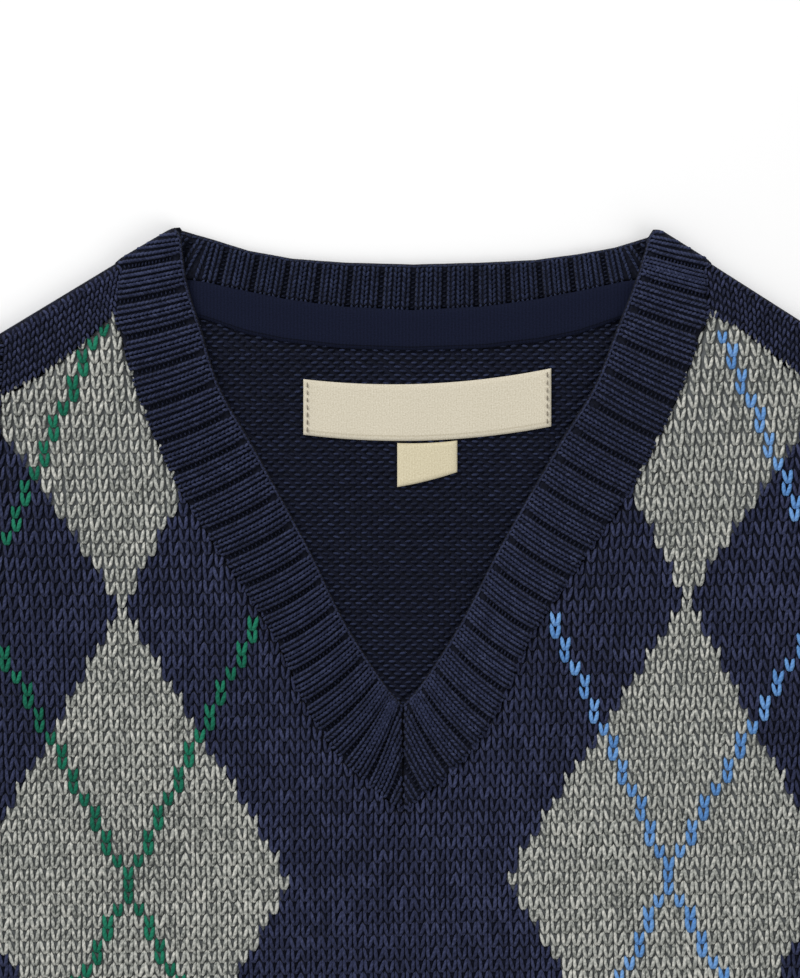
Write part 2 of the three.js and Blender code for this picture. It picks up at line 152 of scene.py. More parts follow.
# How far the front one's seam laps over the shoulder at the fold, and in which part of its width
FOLD_LAP, LAP_SHARE = 0.4, 0.1
print("vest", LENGTH, "mm long,", round(FRONT_LIFT + BODY_WALL, 1), "mm high at the chest")

# %% Outlines: half width and height
NECK_SEAM = [
    (91.2, 200.7),
    (92.7, 188.1),
    (89.7, 178.4),
    (85.0, 163.8),
    (78.3, 148.0),
    (68.8, 130.0),
    (45.3, 95.0),
    (37.7, 82.5),
    (30.9, 66.6),
    (19.7, 49.1),
    (0.0, 31.9),
]

# The neckband's rim lies a little farther out on the left: half width left, right, height
NECK_RIM = [
    (73.2, 73.2, 211.6),
    (70.6, 69.5, 197.5),
    (65.3, 64.2, 182.2),
    (59.0, 58.0, 164.7),
    (47.8, 47.2, 146.0),
    (30.1, 30.1, 114.7),
    (18.8, 18.8, 92.2),
    (6.3, 6.3, 72.5),
    (0.0, 0.0, 65.3),
]
ARMHOLE = [
    (127.1, 178.3),
    (127.6, 150.0),
    (128.6, 115.0),
    (132.0, 82.0),
    (139.5, 52.0),
    (149.0, 30.0),
    (158.5, 18.0),
    (170.0, 12.0),
]
SIDE = [(170.0, 12.0), (168.5, -70.0), (170.0, WAIST_Y)]
TAPE_EDGE = [(0.0, 176.2), (22.0, 176.9), (40.0, 178.9), (52.0, 181.4), (64.0, 185.6), (82.0, 191.0)]
print("neckband rim", NECK_RIM[0][0] + NECK_RIM[0][1], "mm wide at the shoulders")

# %% Outlines of the back neck and the forward shoulder seams
# The back neckband's rim from the centre line outwards: half width, height left, height right
BACK_RIM = [
    (0.0, 203.3, 203.3),
    (22.0, 203.9, 203.9),
    (38.0, 205.1, 204.7),
    (52.0, 207.6, 206.6),
    (63.0, 211.0, 208.6),
    (73.2, 213.9, 211.8),
]

# Its seam, at the same ribs
BACK_SEAM = [(0.0, 188.5), (22.8, 189.7), (39.5, 192.0), (54.0, 194.9), (66.0, 197.5), (91.2, 200.7)]

# Forward shoulder seams: half width, height on the left, height on the right
FORWARD_SEAM = [(92.7, 187.6, 188.6), (103.0, 177.6, 184.2), (115.0, 169.2, 174.8), (127.5, 162.4, 165.8)]

print("forward seams", FORWARD_SEAM[-1][0] - FORWARD_SEAM[0][0], "mm wide")

# %% [markdown]
# The ribs of a real band are evenly spaced when it is knitted, but not once it is stretched
# round a V and sewn on. So a table gives the place of a few grooves, and the others are
# spaced evenly between them. The label and the tab were sewn on a little askew.

# %% Ribs of the neckband and the woven patches
# Where the neckband's grooves start along its seam: number, share on the left, on the right
NECK_GROOVES = [
    (-2, -0.066, -0.063),
    (-1, -0.007, -0.004),
    (0, 0.051, 0.04),
    (4, 0.287, 0.28),
    (16, 0.925, 0.903),
    (17.7, 1.0, 1.0),
]

# How far along the V each rib moves from the seam to the rim: place, left, right
RIB_SLANT = [
    (0.0, 0.044, 0.036),
    (0.23, 0.058, 0.041),
    (0.4, 0.076, 0.067),
    (0.55, 0.101, 0.088),
    (0.7, 0.115, 0.107),
    (0.8, 0.115, 0.107),
    (0.86, 0.1, 0.098),
    (0.925, 0.066, 0.08),
    (1.0, 0.066, 0.08),
]

# The label and the size tab as they lie: their ends, their top and foot corners and their bow
LABEL = {"left": -31.2, "right": 46.4, "tops": (167.2, 170.6), "feet": (149.8, 152.4), "bow": 3.1}
TAB = {"left": -1.8, "right": 17.0, "tops": (147.2, 148.0), "feet": (133.4, 138.1), "bow": 0.4}
print("label", LABEL["right"] - LABEL["left"], "mm long, tab", TAB["right"] - TAB["left"], "mm")

# %% [markdown]
# A few small helpers read those tables: they blend two values, ease a step, or take a value
# between two rows. They work on whole arrays of points at once, which keeps the script fast.

# %% Reading tables
def mix(a, b, t):
    """The value at a share t of the way from a to b."""
    return a + (b - a) * t


def smooth(t):
    """A step from 0 to 1 that starts and ends gently."""
    t = np.clip(t, 0, 1)
    return t * t * (3 - 2 * t)


def read(table, at, column=1):
    """A column of a table at values of its first column, by straight lines between rows."""
    rows = np.array(sorted(table))
    return np.interp(at, rows[:, 0], rows[:, column])


def lean(y):
    """How far the vest leans aside at a height."""
    return NECK_LEAN * np.maximum(0, (y - LEAN_FROM_Y) / LEAN_SPAN) ** LEAN_POWER


def unit(vectors):
    """Vectors brought to a length of one."""
    return vectors / np.linalg.norm(vectors, axis=-1, keepdims=True)


def column_of(side):
    """The column of a side in the tables that differ between left and right."""
    return 1 if side < 0 else 2


print("the neck leans", round(lean(BACK_RIM[0][1]), 1), "mm aside at its top")


# %% Edges of the woven patches
def patch_line(patch, key):
    """The top or the foot of a woven patch as a function of the share from left to right."""

    def line(share):
        x = mix(patch["left"], patch["right"], share)
        y = mix(*patch[key], share) - patch["bow"] * 4 * share * (1 - share)
        return np.stack([x, y], -1)

    return line


def patch_outline(patch):
    """All four edges of a woven patch as a polygon."""
    shares = np.linspace(0, 1, 30)
    return np.vstack([patch_line(patch, "tops")(shares), patch_line(patch, "feet")(shares[::-1])])


def inside(polygon, x, y):
    """True for points inside a polygon, by counting the edges to the right of each."""
    crossings = np.zeros(x.shape, int)
    for (x0, y0), (x1, y1) in zip(polygon, np.roll(polygon, -1, axis=0)):
        if y0 == y1:
            continue
        spans = (y0 > y) != (y1 > y)
        crossings += spans & (x < x0 + (y - y0) / (y1 - y0) * (x1 - x0))
    return crossings % 2 == 1


# %% [markdown]
# The edges of laid cloth are soft curves. A curve object would have to be sampled anyway to
# say where a loop or a rib sits, so a path is worked out in numbers: a smooth line through
# the measured points, which can be read at any share of its length.

# %% A smooth path
class Path:
    """A smooth line through points, read by the share of its length."""

    STEPS = 40
    NEAR = 0.002

    def __init__(self, points):
        points = np.array(points, float)
        ends = np.vstack([points[:1], points, points[-1:]])
        t = np.linspace(0, 1, self.STEPS, endpoint=False)[:, None]
        spans = []
        for p0, p1, p2, p3 in zip(ends, ends[1:], ends[2:], ends[3:]):
            a, b = (p2 - p0) / 2, (p3 - p1) / 2
            curve = (2 * p1 - 2 * p2 + a + b) * t**3 + (3 * p2 - 3 * p1 - 2 * a - b) * t**2 + a * t + p1
            spans.append(curve)
        self.points = np.vstack([*spans, points[-1:]])
        walked = np.cumsum(np.linalg.norm(np.diff(self.points, axis=0), axis=1))
        self.length = walked[-1]
        self.shares = np.concatenate([[0], walked]) / self.length

    def at(self, share):
        """Points on the line."""
        share = np.clip(share, 0, 1)
        return np.stack([np.interp(share, self.shares, self.points[:, k]) for k in (0, 1)], axis=-1)

    def way(self, share):
        """The way the line runs there."""
        share = np.clip(share, self.NEAR, 1 - self.NEAR)
        return unit(self.at(share + self.NEAR) - self.at(share - self.NEAR))

    def beside(self, share, side, offset):
        """Points moved off the line, away from the centre line of the vest."""
        way = self.way(share)
        return self.at(share) + np.stack([-side * way[..., 1], side * way[..., 0]], -1) * offset


# %% Outlines as paths
def outline(table, side):
    """A half outline as a path. A row ends in its height, after one half width or left and right."""
    points = []
    for *halves, y in table:
        half = halves[0] if side < 0 else halves[-1]
        points.append((side * half + lean(y), y))
    return Path(points)


neck_seam = {side: outline(NECK_SEAM, side) for side in (-1, 1)}
neck_rim = {side: outline(NECK_RIM, side) for side in (-1, 1)}
armhole = {side: outline(ARMHOLE, side) for side in (-1, 1)}
print("neck seam", round(neck_seam[1].length, 1), "mm, armhole", round(armhole[1].length, 1), "mm")

# %% [markdown]
# The argyle is charted in loops, as a knitter would read it. Grey diamonds stand in two
# columns, tip to tip. Over them runs a lattice of single coloured loops, green on the left
# and blue on the right: along each arm the marks are two loops tall, two and then one, so
# an arm moves three columns for every five rows. The whole is a sum of rules, not a list.

# %% Argyle chart
WALE = 3.3
COURSE = 3.95
DIAMOND_COLUMN = 26
DIAMOND_ROW = 45
DIAMOND_PERIOD = 45
DIAMOND_HALF_WIDTH = 15.6
ARM_STEPS = np.array([0, 0, 1, 2, 2])
ARM_COLUMNS = 3
NAVY, GREY, GREEN, BLUE = range(4)


def chart(column, row, marked):
    """The colour of a loop by its column from the centre, its row from the waist, and if it is marked."""
    half_period = DIAMOND_PERIOD / 2
    away = np.abs((row - DIAMOND_ROW + half_period) % DIAMOND_PERIOD - half_period).astype(int)
    half_width = np.maximum(0.5, DIAMOND_HALF_WIDTH * (1 - away / half_period))
    from_middle = np.abs(np.abs(column) - DIAMOND_COLUMN)
    arm = ARM_COLUMNS * (away // len(ARM_STEPS)) + ARM_STEPS[away % len(ARM_STEPS)]
    colour = np.where(from_middle < half_width, GREY, NAVY)
    return np.where((from_middle == arm) & marked, np.where(column < 0, GREEN, BLUE), colour)


print("one argyle repeat is", DIAMOND_PERIOD, "rows tall,", round(DIAMOND_PERIOD * COURSE), "mm")

# %% [markdown]
# The rows and columns of the laid vest aren't quite straight: both sides spread outwards
# towards the shoulders, and the right side lies a little higher. A small table says where
# both diamond columns have their tips and crossings, and the loops between them follow.

# %% Where the chart lies on the vest
LAID_ROWS = [
    # row, height on the left and right, how far the column lies to the right, left and right
    (0.0, WAIST_Y + 2.2, WAIST_Y + 2.2, 0.0, 0.0),
    (25.0, -66.9, -65.9, 0.0, 0.0),
    (45.0, 8.7, 11.7, 0.0, -3.0),
    (67.5, 95.6, 98.3, -2.0, 3.0),
    (90.0, 186.2, 188.0, -7.8, 11.0),
    (93.0, 198.2, 200.0, -8.8, 12.2),
]
OUTER_SHARES = (-0.4, 1.4)


def laid(columns, rows):
    """Where loops lie on the vest, by their columns and rows in the chart."""
    left_y, right_y, left_x, right_x = (read(LAID_ROWS, rows, k) for k in (1, 2, 3, 4))
    share = np.clip((columns / DIAMOND_COLUMN + 1) / 2, *OUTER_SHARES)
    return columns * WALE + mix(left_x, right_x, share), mix(left_y, right_y, share)


def charted(x, y):
    """The column and row of the chart at points of the vest, as fractions."""
    share = np.clip((x / (DIAMOND_COLUMN * WALE) + 1) / 2, *OUTER_SHARES)
    left, right = (read([(row[k], row[0]) for row in LAID_ROWS], y) for k in (1, 2))
    rows = mix(left, right, share)
    return (x - mix(read(LAID_ROWS, rows, 3), read(LAID_ROWS, rows, 4), share)) / WALE, rows


middles = laid(np.array([-DIAMOND_COLUMN, DIAMOND_COLUMN]), np.array([DIAMOND_ROW, DIAMOND_ROW]))
print("the middle diamonds lie", np.round(middles[1], 1).tolist(), "mm up")

# %% [markdown]
# Cloth that was folded and laid down is never quite flat. On the real vest the creases are
# few, shallow and uneven. They could come from a cloth simulation, but a vest this thick
# and this carefully smoothed out would hardly move in one. So each crease is listed one by
# one: its middle, its turn from the X axis, its length, its width and its height. A
# negative height is a trough.

# %% Creases
FRONT_CREASES = [
    # x, y, turn in degrees, length, width, height
    (-112, 128, 62, 46, 9, 0.8),
    (104, 134, -58, 52, 10, 0.9),
    (-62, 40, 24, 60, 13, 0.7),
    (58, 22, -18, 54, 12, 0.6),
    (-8, -6, 4, 70, 10, -0.3),
    (-138, -30, 78, 64, 11, 0.9),
    (146, -58, -82, 58, 12, 0.8),
    (22, -84, 12, 82, 14, 0.7),
    (-74, -118, -9, 66, 11, 0.8),
    (96, -132, 16, 48, 10, 0.6),
    (-104, 66, -38, 38, 8, -0.3),
    (112, 62, 44, 42, 9, 0.5),
]
BACK_CREASES = [
    (-30, 120, 72, 40, 8, 0.18),
    (26, 128, -64, 36, 7, 0.2),
    (4, 96, 10, 30, 9, 0.15),
    (-14, 168, 2, 46, 6, -0.15),
    (48, 160, -20, 26, 7, -0.12),
]
CREASE_BEND = 0.1
FADE_FROM_Y, FADE_SPAN = 120.0, 50.0


def creases(rows, x, y):
    """The sum of soft troughs and ridges at points of the cloth."""
    height = np.zeros(np.shape(x))
    for cx, cy, turn, length, width, rise in rows:
        c, s = math.cos(math.radians(turn)), math.sin(math.radians(turn))
        along = (x - cx) * c + (y - cy) * s
        aside = (y - cy) * c - (x - cx) * s + CREASE_BEND * along * np.sin(along / length)
        height += rise * np.exp(-2 * (along / length) ** 2 - 2 * (aside / width) ** 2)
    return height


def front_creases(x, y):
    """The front's creases, which fade towards the shoulders."""
    fade = 1 - smooth((y - FADE_FROM_Y) / FADE_SPAN)
    return fade * creases(FRONT_CREASES, x, y)


print(len(FRONT_CREASES), "creases on the front,", len(BACK_CREASES), "on the back")

# %% [markdown]
# The front lies on the back, and rises at the shoulders, where it goes over the ribbed back
# neckband. Its seams and sides make one closed edge, which can be drawn in or let out. The
# loops are cut to it later.

# %% The lie and the edge of the front
SHELL_SHARE = 0.73
ARM_SEAM_SHARES = (0.1, 0.985)
SIDE_TOP_Y, SIDE_INSET, SIDE_STEPS = 8, 0.4, 12
UNDERARM_Y = ARMHOLE[-1][1]
SIDE_EDGE_RISE = 0.4


def front_floor(x, y):
    """The height of the front layer's inner face."""
    waves = [np.sin(x / wx + y / wy) for wx, wy in SWELL_WAVES]
    swell = SWELL * (waves[0] * waves[1]) ** 2
    return mix(FRONT_LIFT + swell, SHOULDER_LIFT, smooth((y - RISE_FROM_Y) / (RISE_TO_Y - RISE_FROM_Y)))


def side_half(y):
    """The half width of the body at a height below the armholes."""
    return read([(height, half) for half, height in SIDE], y)


def front_edge(inset=0.0, below_shoulder=0.0, steps=60):
    """The seams of each half of the front, drawn in, and its sides down to the waist."""
    halves = []
    for side in (1, -1):
        neck = neck_seam[side].beside(np.linspace(1, NECK_SEAM_START, steps), side, inset)
        half = np.linspace(FORWARD_SEAM[0][0], FORWARD_SEAM[-1][0], steps // 4)
        height = read(FORWARD_SEAM, half, column_of(side)) - below_shoulder
        shoulder = np.stack([side * half + lean(height), height], -1)
        arm = armhole[side].beside(np.linspace(*ARM_SEAM_SHARES, steps), side, -inset)
        down = np.linspace(SIDE_TOP_Y, WAIST_Y, SIDE_STEPS)
        body = np.stack([side * (side_half(down) - SIDE_INSET), down], -1)
        halves.append((np.vstack([neck, shoulder[1:], arm]), body))
    return halves


def closed_edge(halves):
    """Both halves of the front's edge as one polygon."""
    right, left = (np.vstack(half) for half in halves)
    return np.vstack([right, left[::-1]])


print("the front rises", round(SHOULDER_LIFT - FRONT_LIFT, 1), "mm at the shoulders")

# %% [markdown]
# A seam pulls the cloth down, so along its seams the front dips into a narrow valley, and
# its outermost loops run on a little way under the bands. The distance to the nearest seam
# comes from a tree of points, which is far quicker than to measure every pair.

# %% Valleys along the seams
VALLEY_DEPTH = 1.0
VALLEY_REACH = 3.5
VALLEY_SLOPE = 0.75

seam_points = np.vstack([seams for seams, _ in front_edge(steps=400)])
front_seams = kdtree.KDTree(len(seam_points))
for number, point in enumerate(seam_points):
    front_seams.insert((*point, 0), number)
front_seams.balance()
print(len(seam_points), "points along the seams of the front")


def seam_valley(x, y):
    """How deep the front dips near its seams. It goes on down where it runs under a band."""
    distance = np.array([front_seams.find((a, b, 0))[2] for a, b in zip(x.ravel(), y.ravel())])
    distance = np.where(inside(closed_edge(front_edge()), x, y), 1, -1) * distance.reshape(x.shape)
    return VALLEY_DEPTH * (1 - smooth(distance / VALLEY_REACH)) - VALLEY_SLOPE * np.minimum(distance, 0)


def front_surface(x, y):
    """Points on the outer face of the front's cloth, under the loops."""
    z = front_floor(x, y) + BODY_WALL * SHELL_SHARE + front_creases(x, y)
    out = np.clip((np.abs(x) - side_half(y) + SIDE_REACH) / SIDE_REACH, 0, 1) * (y < UNDERARM_Y)
    z = mix(z, FRONT_LIFT + SIDE_EDGE_RISE, 1 - np.sqrt(1 - out**2))
    return np.stack([x, y, z - seam_valley(x, y)], -1)


# %% [markdown]
# Every knitted surface here is a thin dark shell with loops of yarn on it. The shell closes
# the gaps between the loops, gives the cloth its thickness and carries its soft form. Its dark
# colour is painted shade, the shadow in the gaps between the loops.
# The panels start from a merged copy of the imported piece, cut into small faces, so they
# keep its outline to the millimetre. The ribbed bands are built anew from the same tables,
# because each rib needs a dozen faces across to look round.

# %% Meshes from points
def new_object(name, mesh):
    made = bpy.data.objects.new(name, mesh)
    bpy.context.collection.objects.link(made)
    return made


def smooth_shaded(mesh):
    mesh.polygons.foreach_set("use_smooth", np.ones(len(mesh.polygons), bool))
    mesh.update()
    return mesh


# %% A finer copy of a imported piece
def finer_copy(node, name, cuts):
    """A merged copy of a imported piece, with each triangle cut into four, some times over."""
    form = bmesh.new()
    form.from_mesh(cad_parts[node].data)
    bmesh.ops.remove_doubles(form, verts=form.verts, dist=1e-6)
    for _ in range(cuts):
        bmesh.ops.subdivide_edges(form, edges=form.edges, cuts=1, use_grid_fill=True)
    bmesh.ops.recalc_face_normals(form, faces=form.faces)
    mesh = bpy.data.meshes.new(name)
    form.to_mesh(mesh)
    form.free()
    print(name, len(mesh.polygons), "faces")
    return new_object(name, smooth_shaded(mesh))


def dress(shell, ground, plain, up=-0.2):
    """Gives a shell its ground, dark as painted shade in the gaps between loops, and the plain knit to the
    faces that look down or aside.
    """
    shell.data.materials.append(ground)
    shell.data.materials.append(plain)
    for face in shell.data.polygons:
        face.material_index = int(face.normal.z < up)


def points_of(mesh):
    """The points of a mesh in mm."""
    flat = np.empty(len(mesh.vertices) * 3)
    mesh.vertices.foreach_get("co", flat)
    return flat.reshape(-1, 3) / MM


def put_points(mesh, points):
    mesh.vertices.foreach_set("co", (points * MM).ravel())
    mesh.update()


# %% A closed shell between two faces
def wall(name, outer, inner, closed=False, place=None):
    """A closed shell between two grids of points. A closed one runs round along its rows."""
    rows, columns = outer.shape[:2]
    count = rows * columns
    number = np.arange(count).reshape(rows, columns)
    if closed:
        number = np.hstack([number, number[:, :1]])
    a, b, c, d = number[:-1, :-1], number[:-1, 1:], number[1:, 1:], number[1:, :-1]
    front = np.stack([a, b, c, d], -1).reshape(-1, 4)
    faces = [front, front[:, ::-1] + count]
    edges = [number[0], number[-1][::-1]]
    if not closed:
        edges += [number[::-1, 0], number[:, -1]]
    for edge in edges:
        low, high = edge[:-1], edge[1:]
        faces.append(np.stack([high, low, low + count, high + count], -1))
    points = np.concatenate([outer.reshape(-1, 3), inner.reshape(-1, 3)]) * MM
    mesh = bpy.data.meshes.new(name)
    mesh.from_pydata(points.tolist(), [], np.concatenate(faces).tolist())
    if place is not None:
        flat = np.tile(place.reshape(-1, 3), (2, 1)).ravel()
        mesh.attributes.new("place", "FLOAT_VECTOR", "POINT").data.foreach_set("vector", flat)
    form = bmesh.new()
    form.from_mesh(mesh)
    bmesh.ops.remove_doubles(form, verts=form.verts, dist=1e-6)
    bmesh.ops.recalc_face_normals(form, faces=form.faces)
    form.to_mesh(mesh)
    form.free()
    print(name, len(mesh.polygons), "faces")
    return new_object(name, smooth_shaded(mesh))


# %% [markdown]
# The yarn is a soft ring-spun cotton of several plies. Close up it shows a low twist, a
# dull surface with no gloss and a thin haze of fibre ends, which a little sheen stands for.
# The grey is a marl: light and dark fibres are spun together, so its tone changes from
# loop to loop. Each loop carries its own tone as an attribute, and a fine noise along the
# yarn adds the plies and the fibres.

# %% Cloth materials: how they start and end
FIBRE_SIZE = 0.35
COTTON = {"Roughness": 0.9, "IOR": 1.45, "Specular IOR Level": 0.1, "Sheen Roughness": 0.6}


def new_material(name):
    """An empty material and its tree of nodes."""
    material = bpy.data.materials.new(name)
    material.use_nodes = True
    material.node_tree.nodes.clear()
    return material, material.node_tree


def two_tones(tree, level, dark, light):
    """A ramp from a dark colour to a light one."""
    ramp = add(tree, "ShaderNodeValToRGB", {}, {0: level})
    ramp.color_ramp.elements[0].color = linear(dark)
    ramp.color_ramp.elements[1].color = linear(light)
    return ramp


def cloth_finish(tree, colour, height, strength, depth, surface):
    """Ends a cloth material: its relief with a depth in mm, its dull surface and the output."""
    bump = add(tree, "ShaderNodeBump", {"Strength": strength, "Distance": depth * MM}, {"Height": height})
    skin = add(tree, "ShaderNodeBsdfPrincipled", surface, {"Base Color": colour, "Normal": bump})
    add(tree, "ShaderNodeOutputMaterial", {}, {"Surface": skin})


# %% Yarn material
MARL_SIZE = 1.1
FIBRE_CONTRAST = 0.5
PLY_CONTRAST = 0.16


def yarn(name, dark, middle, light, marl=0.3, sheen=0.04):
    """Cotton yarn whose tone runs from dark to light by its loop, its blend and its fibres."""
    material, tree = new_material(name)
    place = add(tree, "ShaderNodeTexCoord").outputs["Object"]
    strand = add(tree, "ShaderNodeAttribute", {"attribute_name": "strand"}).outputs["Vector"]
    fibres = {"Scale": 1 / (FIBRE_SIZE * MM), "Detail": 2.0, "Roughness": 0.6}
    fibre = add(tree, "ShaderNodeTexNoise", fibres, {"Vector": place}).outputs["Fac"]
    blends = {"Scale": 1 / (MARL_SIZE * MM), "Detail": 1.0}
    blend = add(tree, "ShaderNodeTexNoise", blends, {"Vector": place}).outputs["Fac"]
    twist = {"wave_type": "BANDS", "bands_direction": "DIAGONAL"}
    twist |= {"Scale": 1.0, "Distortion": 1.5, "Detail": 1.0}
    plies = add(tree, "ShaderNodeTexWave", twist, {"Vector": strand}).outputs["Fac"]
    level = add(tree, "ShaderNodeAttribute", {"attribute_name": "tone"}).outputs["Fac"]
    patterns = ((fibre, FIBRE_CONTRAST), (blend, marl), (plies, PLY_CONTRAST))
    for pattern, contrast in patterns:
        share = {"operation": "MULTIPLY_ADD", 1: contrast}
        level = add(tree, "ShaderNodeMath", share, {0: pattern, 2: level}).outputs[0]
    excess = sum(contrast for _, contrast in patterns) / 2
    total = add(tree, "ShaderNodeMath", {"operation": "SUBTRACT", 1: excess}, {0: level})
    ramp = two_tones(tree, total, dark, light)
    ramp.color_ramp.elements.new(0.5).color = linear(middle)
    relief = add(tree, "ShaderNodeMath", {"operation": "MULTIPLY_ADD", 1: 0.5}, {0: fibre, 2: plies})
    cloth_finish(tree, ramp, relief, 0.5, 0.2, COTTON | {"Sheen Weight": sheen})
    return material


navy_yarn = yarn("navy cotton yarn", "101322", "2a2f49", "474d6e", marl=0.6)
# A darker copy of the navy yarn: painted shade for the loops that lie under the front, on the inside of
# the back and on the back neckband.
painted_shade_yarn = yarn("navy cotton yarn, darkened as painted shade", "0d111f", "20273f", "373f5d")
band_yarn = yarn("navy cotton yarn, ribbing", "101424", "282e48", "444b69", marl=0.5)
grey_yarn = yarn("grey marl cotton yarn", "60635f", "a3a59f", "cccbc3", marl=1.7)
green_yarn = yarn("green cotton yarn", "0a3c30", "176a52", "2b8769")
blue_yarn = yarn("blue cotton yarn", "365f98", "6090c8", "8db5e4")
print("a yarn has", len(navy_yarn.node_tree.nodes), "nodes")

# %% [markdown]
# The shell under the loops shows only as dark gaps: its dark colour is painted shade, the
# shadow between the loops. Its underside and its sides have no loops over them and show as
# plain knit, a little lighter. There a wave along X draws the columns of loops and a wave
# along Y the rows, as relief, and the colour darkens in its hollows as painted shade. On the
# front the shell turns grey inside the diamonds, so no dark navy gap shows between the grey
# loops; that grey is darker than the yarn, painted shade in the gaps.

# %% The argyle's diamonds in the shell
def in_diamond(tree):
    """One inside the diamonds and zero outside, by the chart's rule for them."""
    half_period = DIAMOND_PERIOD / 2
    place = add(tree, "ShaderNodeAttribute", {"attribute_name": "chart"}).outputs["Vector"]
    split = add(tree, "ShaderNodeSeparateXYZ", {}, {0: place}).outputs
    away = add(tree, "ShaderNodeMath", {"operation": "PINGPONG", 1: half_period}, {0: split["Y"]})
    column = add(tree, "ShaderNodeMath", {"operation": "ABSOLUTE"}, {0: split["X"]})
    aside = add(tree, "ShaderNodeMath", {"operation": "SUBTRACT", 1: DIAMOND_COLUMN}, {0: column})
    from_middle = add(tree, "ShaderNodeMath", {"operation": "ABSOLUTE"}, {0: aside})
    slope = {"operation": "MULTIPLY_ADD", 1: DIAMOND_HALF_WIDTH / half_period}
    out = add(tree, "ShaderNodeMath", slope, {0: away, 2: from_middle})
    return add(tree, "ShaderNodeMath", {"operation": "LESS_THAN", 1: DIAMOND_HALF_WIDTH}, {0: out})


# %% Shell material
# A mix node has sockets for each kind of data, and these are its colours
COLOUR_A, COLOUR_B, COLOUR_OUT = 6, 7, 2
LEG_SLOPE = 1.1


def knit_ground(name, dark, light, across=WALE, along=COURSE, depth=0.35, diamond=None):
    """Plain knit as a low relief in columns and rows of loops, for faces without loops and as the ground
    under loops. Its colour darkens in the relief's hollows: painted shade.
    """
    material, tree = new_material(name)
    place = add(tree, "ShaderNodeTexCoord").outputs["Object"]
    split = add(tree, "ShaderNodeSeparateXYZ", {}, {0: place}).outputs
    column = add(tree, "ShaderNodeMath", {"operation": "PINGPONG", 1: across / 2 * MM}, {0: split["X"]})
    slope = {"operation": "MULTIPLY_ADD", 1: LEG_SLOPE}
    lifted = add(tree, "ShaderNodeMath", slope, {0: column, 2: split["Y"]})
    row = add(tree, "ShaderNodeMath", {"operation": "PINGPONG", 1: along / 2 * MM}, {0: lifted})
    leg = add(tree, "ShaderNodeMath", {"operation": "PINGPONG", 1: across / 4 * MM}, {0: split["X"]})
    height = add(tree, "ShaderNodeMath", {"operation": "ADD"}, {0: row, 1: leg})
    highest = (across / 4 + along / 2) * MM
    share = add(tree, "ShaderNodeMapRange", {"From Max": highest}, {"Value": height})
    fibres = {"Scale": 1 / (FIBRE_SIZE * MM), "Detail": 2.0}
    fibre = add(tree, "ShaderNodeTexNoise", fibres, {"Vector": place}).outputs["Fac"]
    # The colour follows the relief: darker in its hollows, as painted shade.
    level = add(tree, "ShaderNodeMath", {"operation": "MULTIPLY"}, {0: share, 1: fibre})
    colour = two_tones(tree, level, dark, light).outputs["Color"]
    # Inside the diamonds the ground is a dark grey: painted shade between the grey loops.
    if diamond:
        grey = {"data_type": "RGBA", COLOUR_B: linear(diamond)}
        both = add(tree, "ShaderNodeMix", grey, {0: in_diamond(tree), COLOUR_A: colour})
        colour = both.outputs[COLOUR_OUT]
    cloth_finish(tree, colour, share, 0.8, depth, COTTON | {"Roughness": 0.92, "Sheen Weight": 0.03})
    return material


body_plain = knit_ground("navy jersey, faces without loops", "151a2d", "30365a")
band_plain = knit_ground("navy rib, faces without loops", "13172a", "2d3352", across=4.7, along=2.2)
# The grounds are darker than the yarn: painted shade in the gaps between the loops.
body_gap_shade = knit_ground("navy jersey, painted shade in the gaps", "0b0d16", "1d2136")
front_gap_shade = knit_ground("navy and grey jersey, painted shade in the gaps", "0b0d16", "1d2136", diamond="5c5f60")
band_gap_shade = knit_ground("navy rib, painted shade in the gaps", "0b0d16", "1b1f31", across=4.0, along=2.2)
print("the front's ground has", len(front_gap_shade.node_tree.nodes), "nodes")

# %% [markdown]
# The front and back panels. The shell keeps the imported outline, is drawn in to make room
# for the loops on its outer face, and takes the creases. The back lies on the table: its
# underside stays flat, and only its inner face swells.

# %% Panels
BACK_SWELL_TO_Y = 178

front_shell = finer_copy("front_panel", "front_cloth", 2)
points = points_of(front_shell.data)
x, y, z = points.T
rise = z - front_floor(x, y)
dip = np.minimum(seam_valley(x, y), VALLEY_DEPTH) * np.clip(rise / BODY_WALL, 0, 1)
points[:, 2] = front_floor(x, y) + rise * SHELL_SHARE + front_creases(x, y) - dip
put_points(front_shell.data, points)
column, row = charted(x, y)
place = np.stack([column, row, np.zeros(len(x))], -1)
chart_places = front_shell.data.attributes.new("chart", "FLOAT_VECTOR", "POINT")
chart_places.data.foreach_set("vector", place.ravel())
dress(front_shell, front_gap_shade, body_plain, up=0.8)

back_shell = finer_copy("back_panel", "back_cloth", 1)
points = points_of(back_shell.data)
x, y, z = points.T
on_back = (z < FRONT_LIFT) & (y < BACK_SWELL_TO_Y)
z = np.where(z > SHOULDER_LIFT, SHOULDER_LIFT + (z - SHOULDER_LIFT) * SHELL_SHARE, z)
points[:, 2] = np.where(on_back, z + creases(BACK_CREASES, x, y) * z / BODY_WALL, z)
put_points(back_shell.data, points)
dress(back_shell, body_gap_shade, body_plain)

# %% [markdown]
# A ribbed band is knitted with raised and sunken columns in turn. Its surface is a rule:
# walk along the band, and the height rises and falls with the ribs; walk across it, and it
# climbs from the seam, runs level and rolls down at the bound-off rim. Each band below is
# one function that gives a point of that surface, so the shell and the loops agree.

# %% Rib relief
BACK_NECK_RIBS = 15
ARM_RIBS = 19
HEM_RIBS = 36
BAND_BASE = 1.7
RIB_RISE = 1.6
RIM_FILL = 0.62
SAMPLES_PER_RIB = 14

# A rib: where its foot is, how wide its flank is and how much its crown rounds off
RIB_FOOT, RIB_FLANK, RIB_CROWN = 0.92, 0.42, 0.15

# How high the ribs stand: low at the seam, rising over a short span, and low again at the rim
SEAM_RELIEF, SEAM_SPAN = 0.35, 0.08
RIM_FROM, RIM_SPAN, RIM_LOSS = 0.8, 0.12, 0.75
BAND_EDGE = [(0, 0.7), (0.03, 0.9), (0.07, 1), (0.9, 1), (0.97, 0.75), (1, 0.3)]


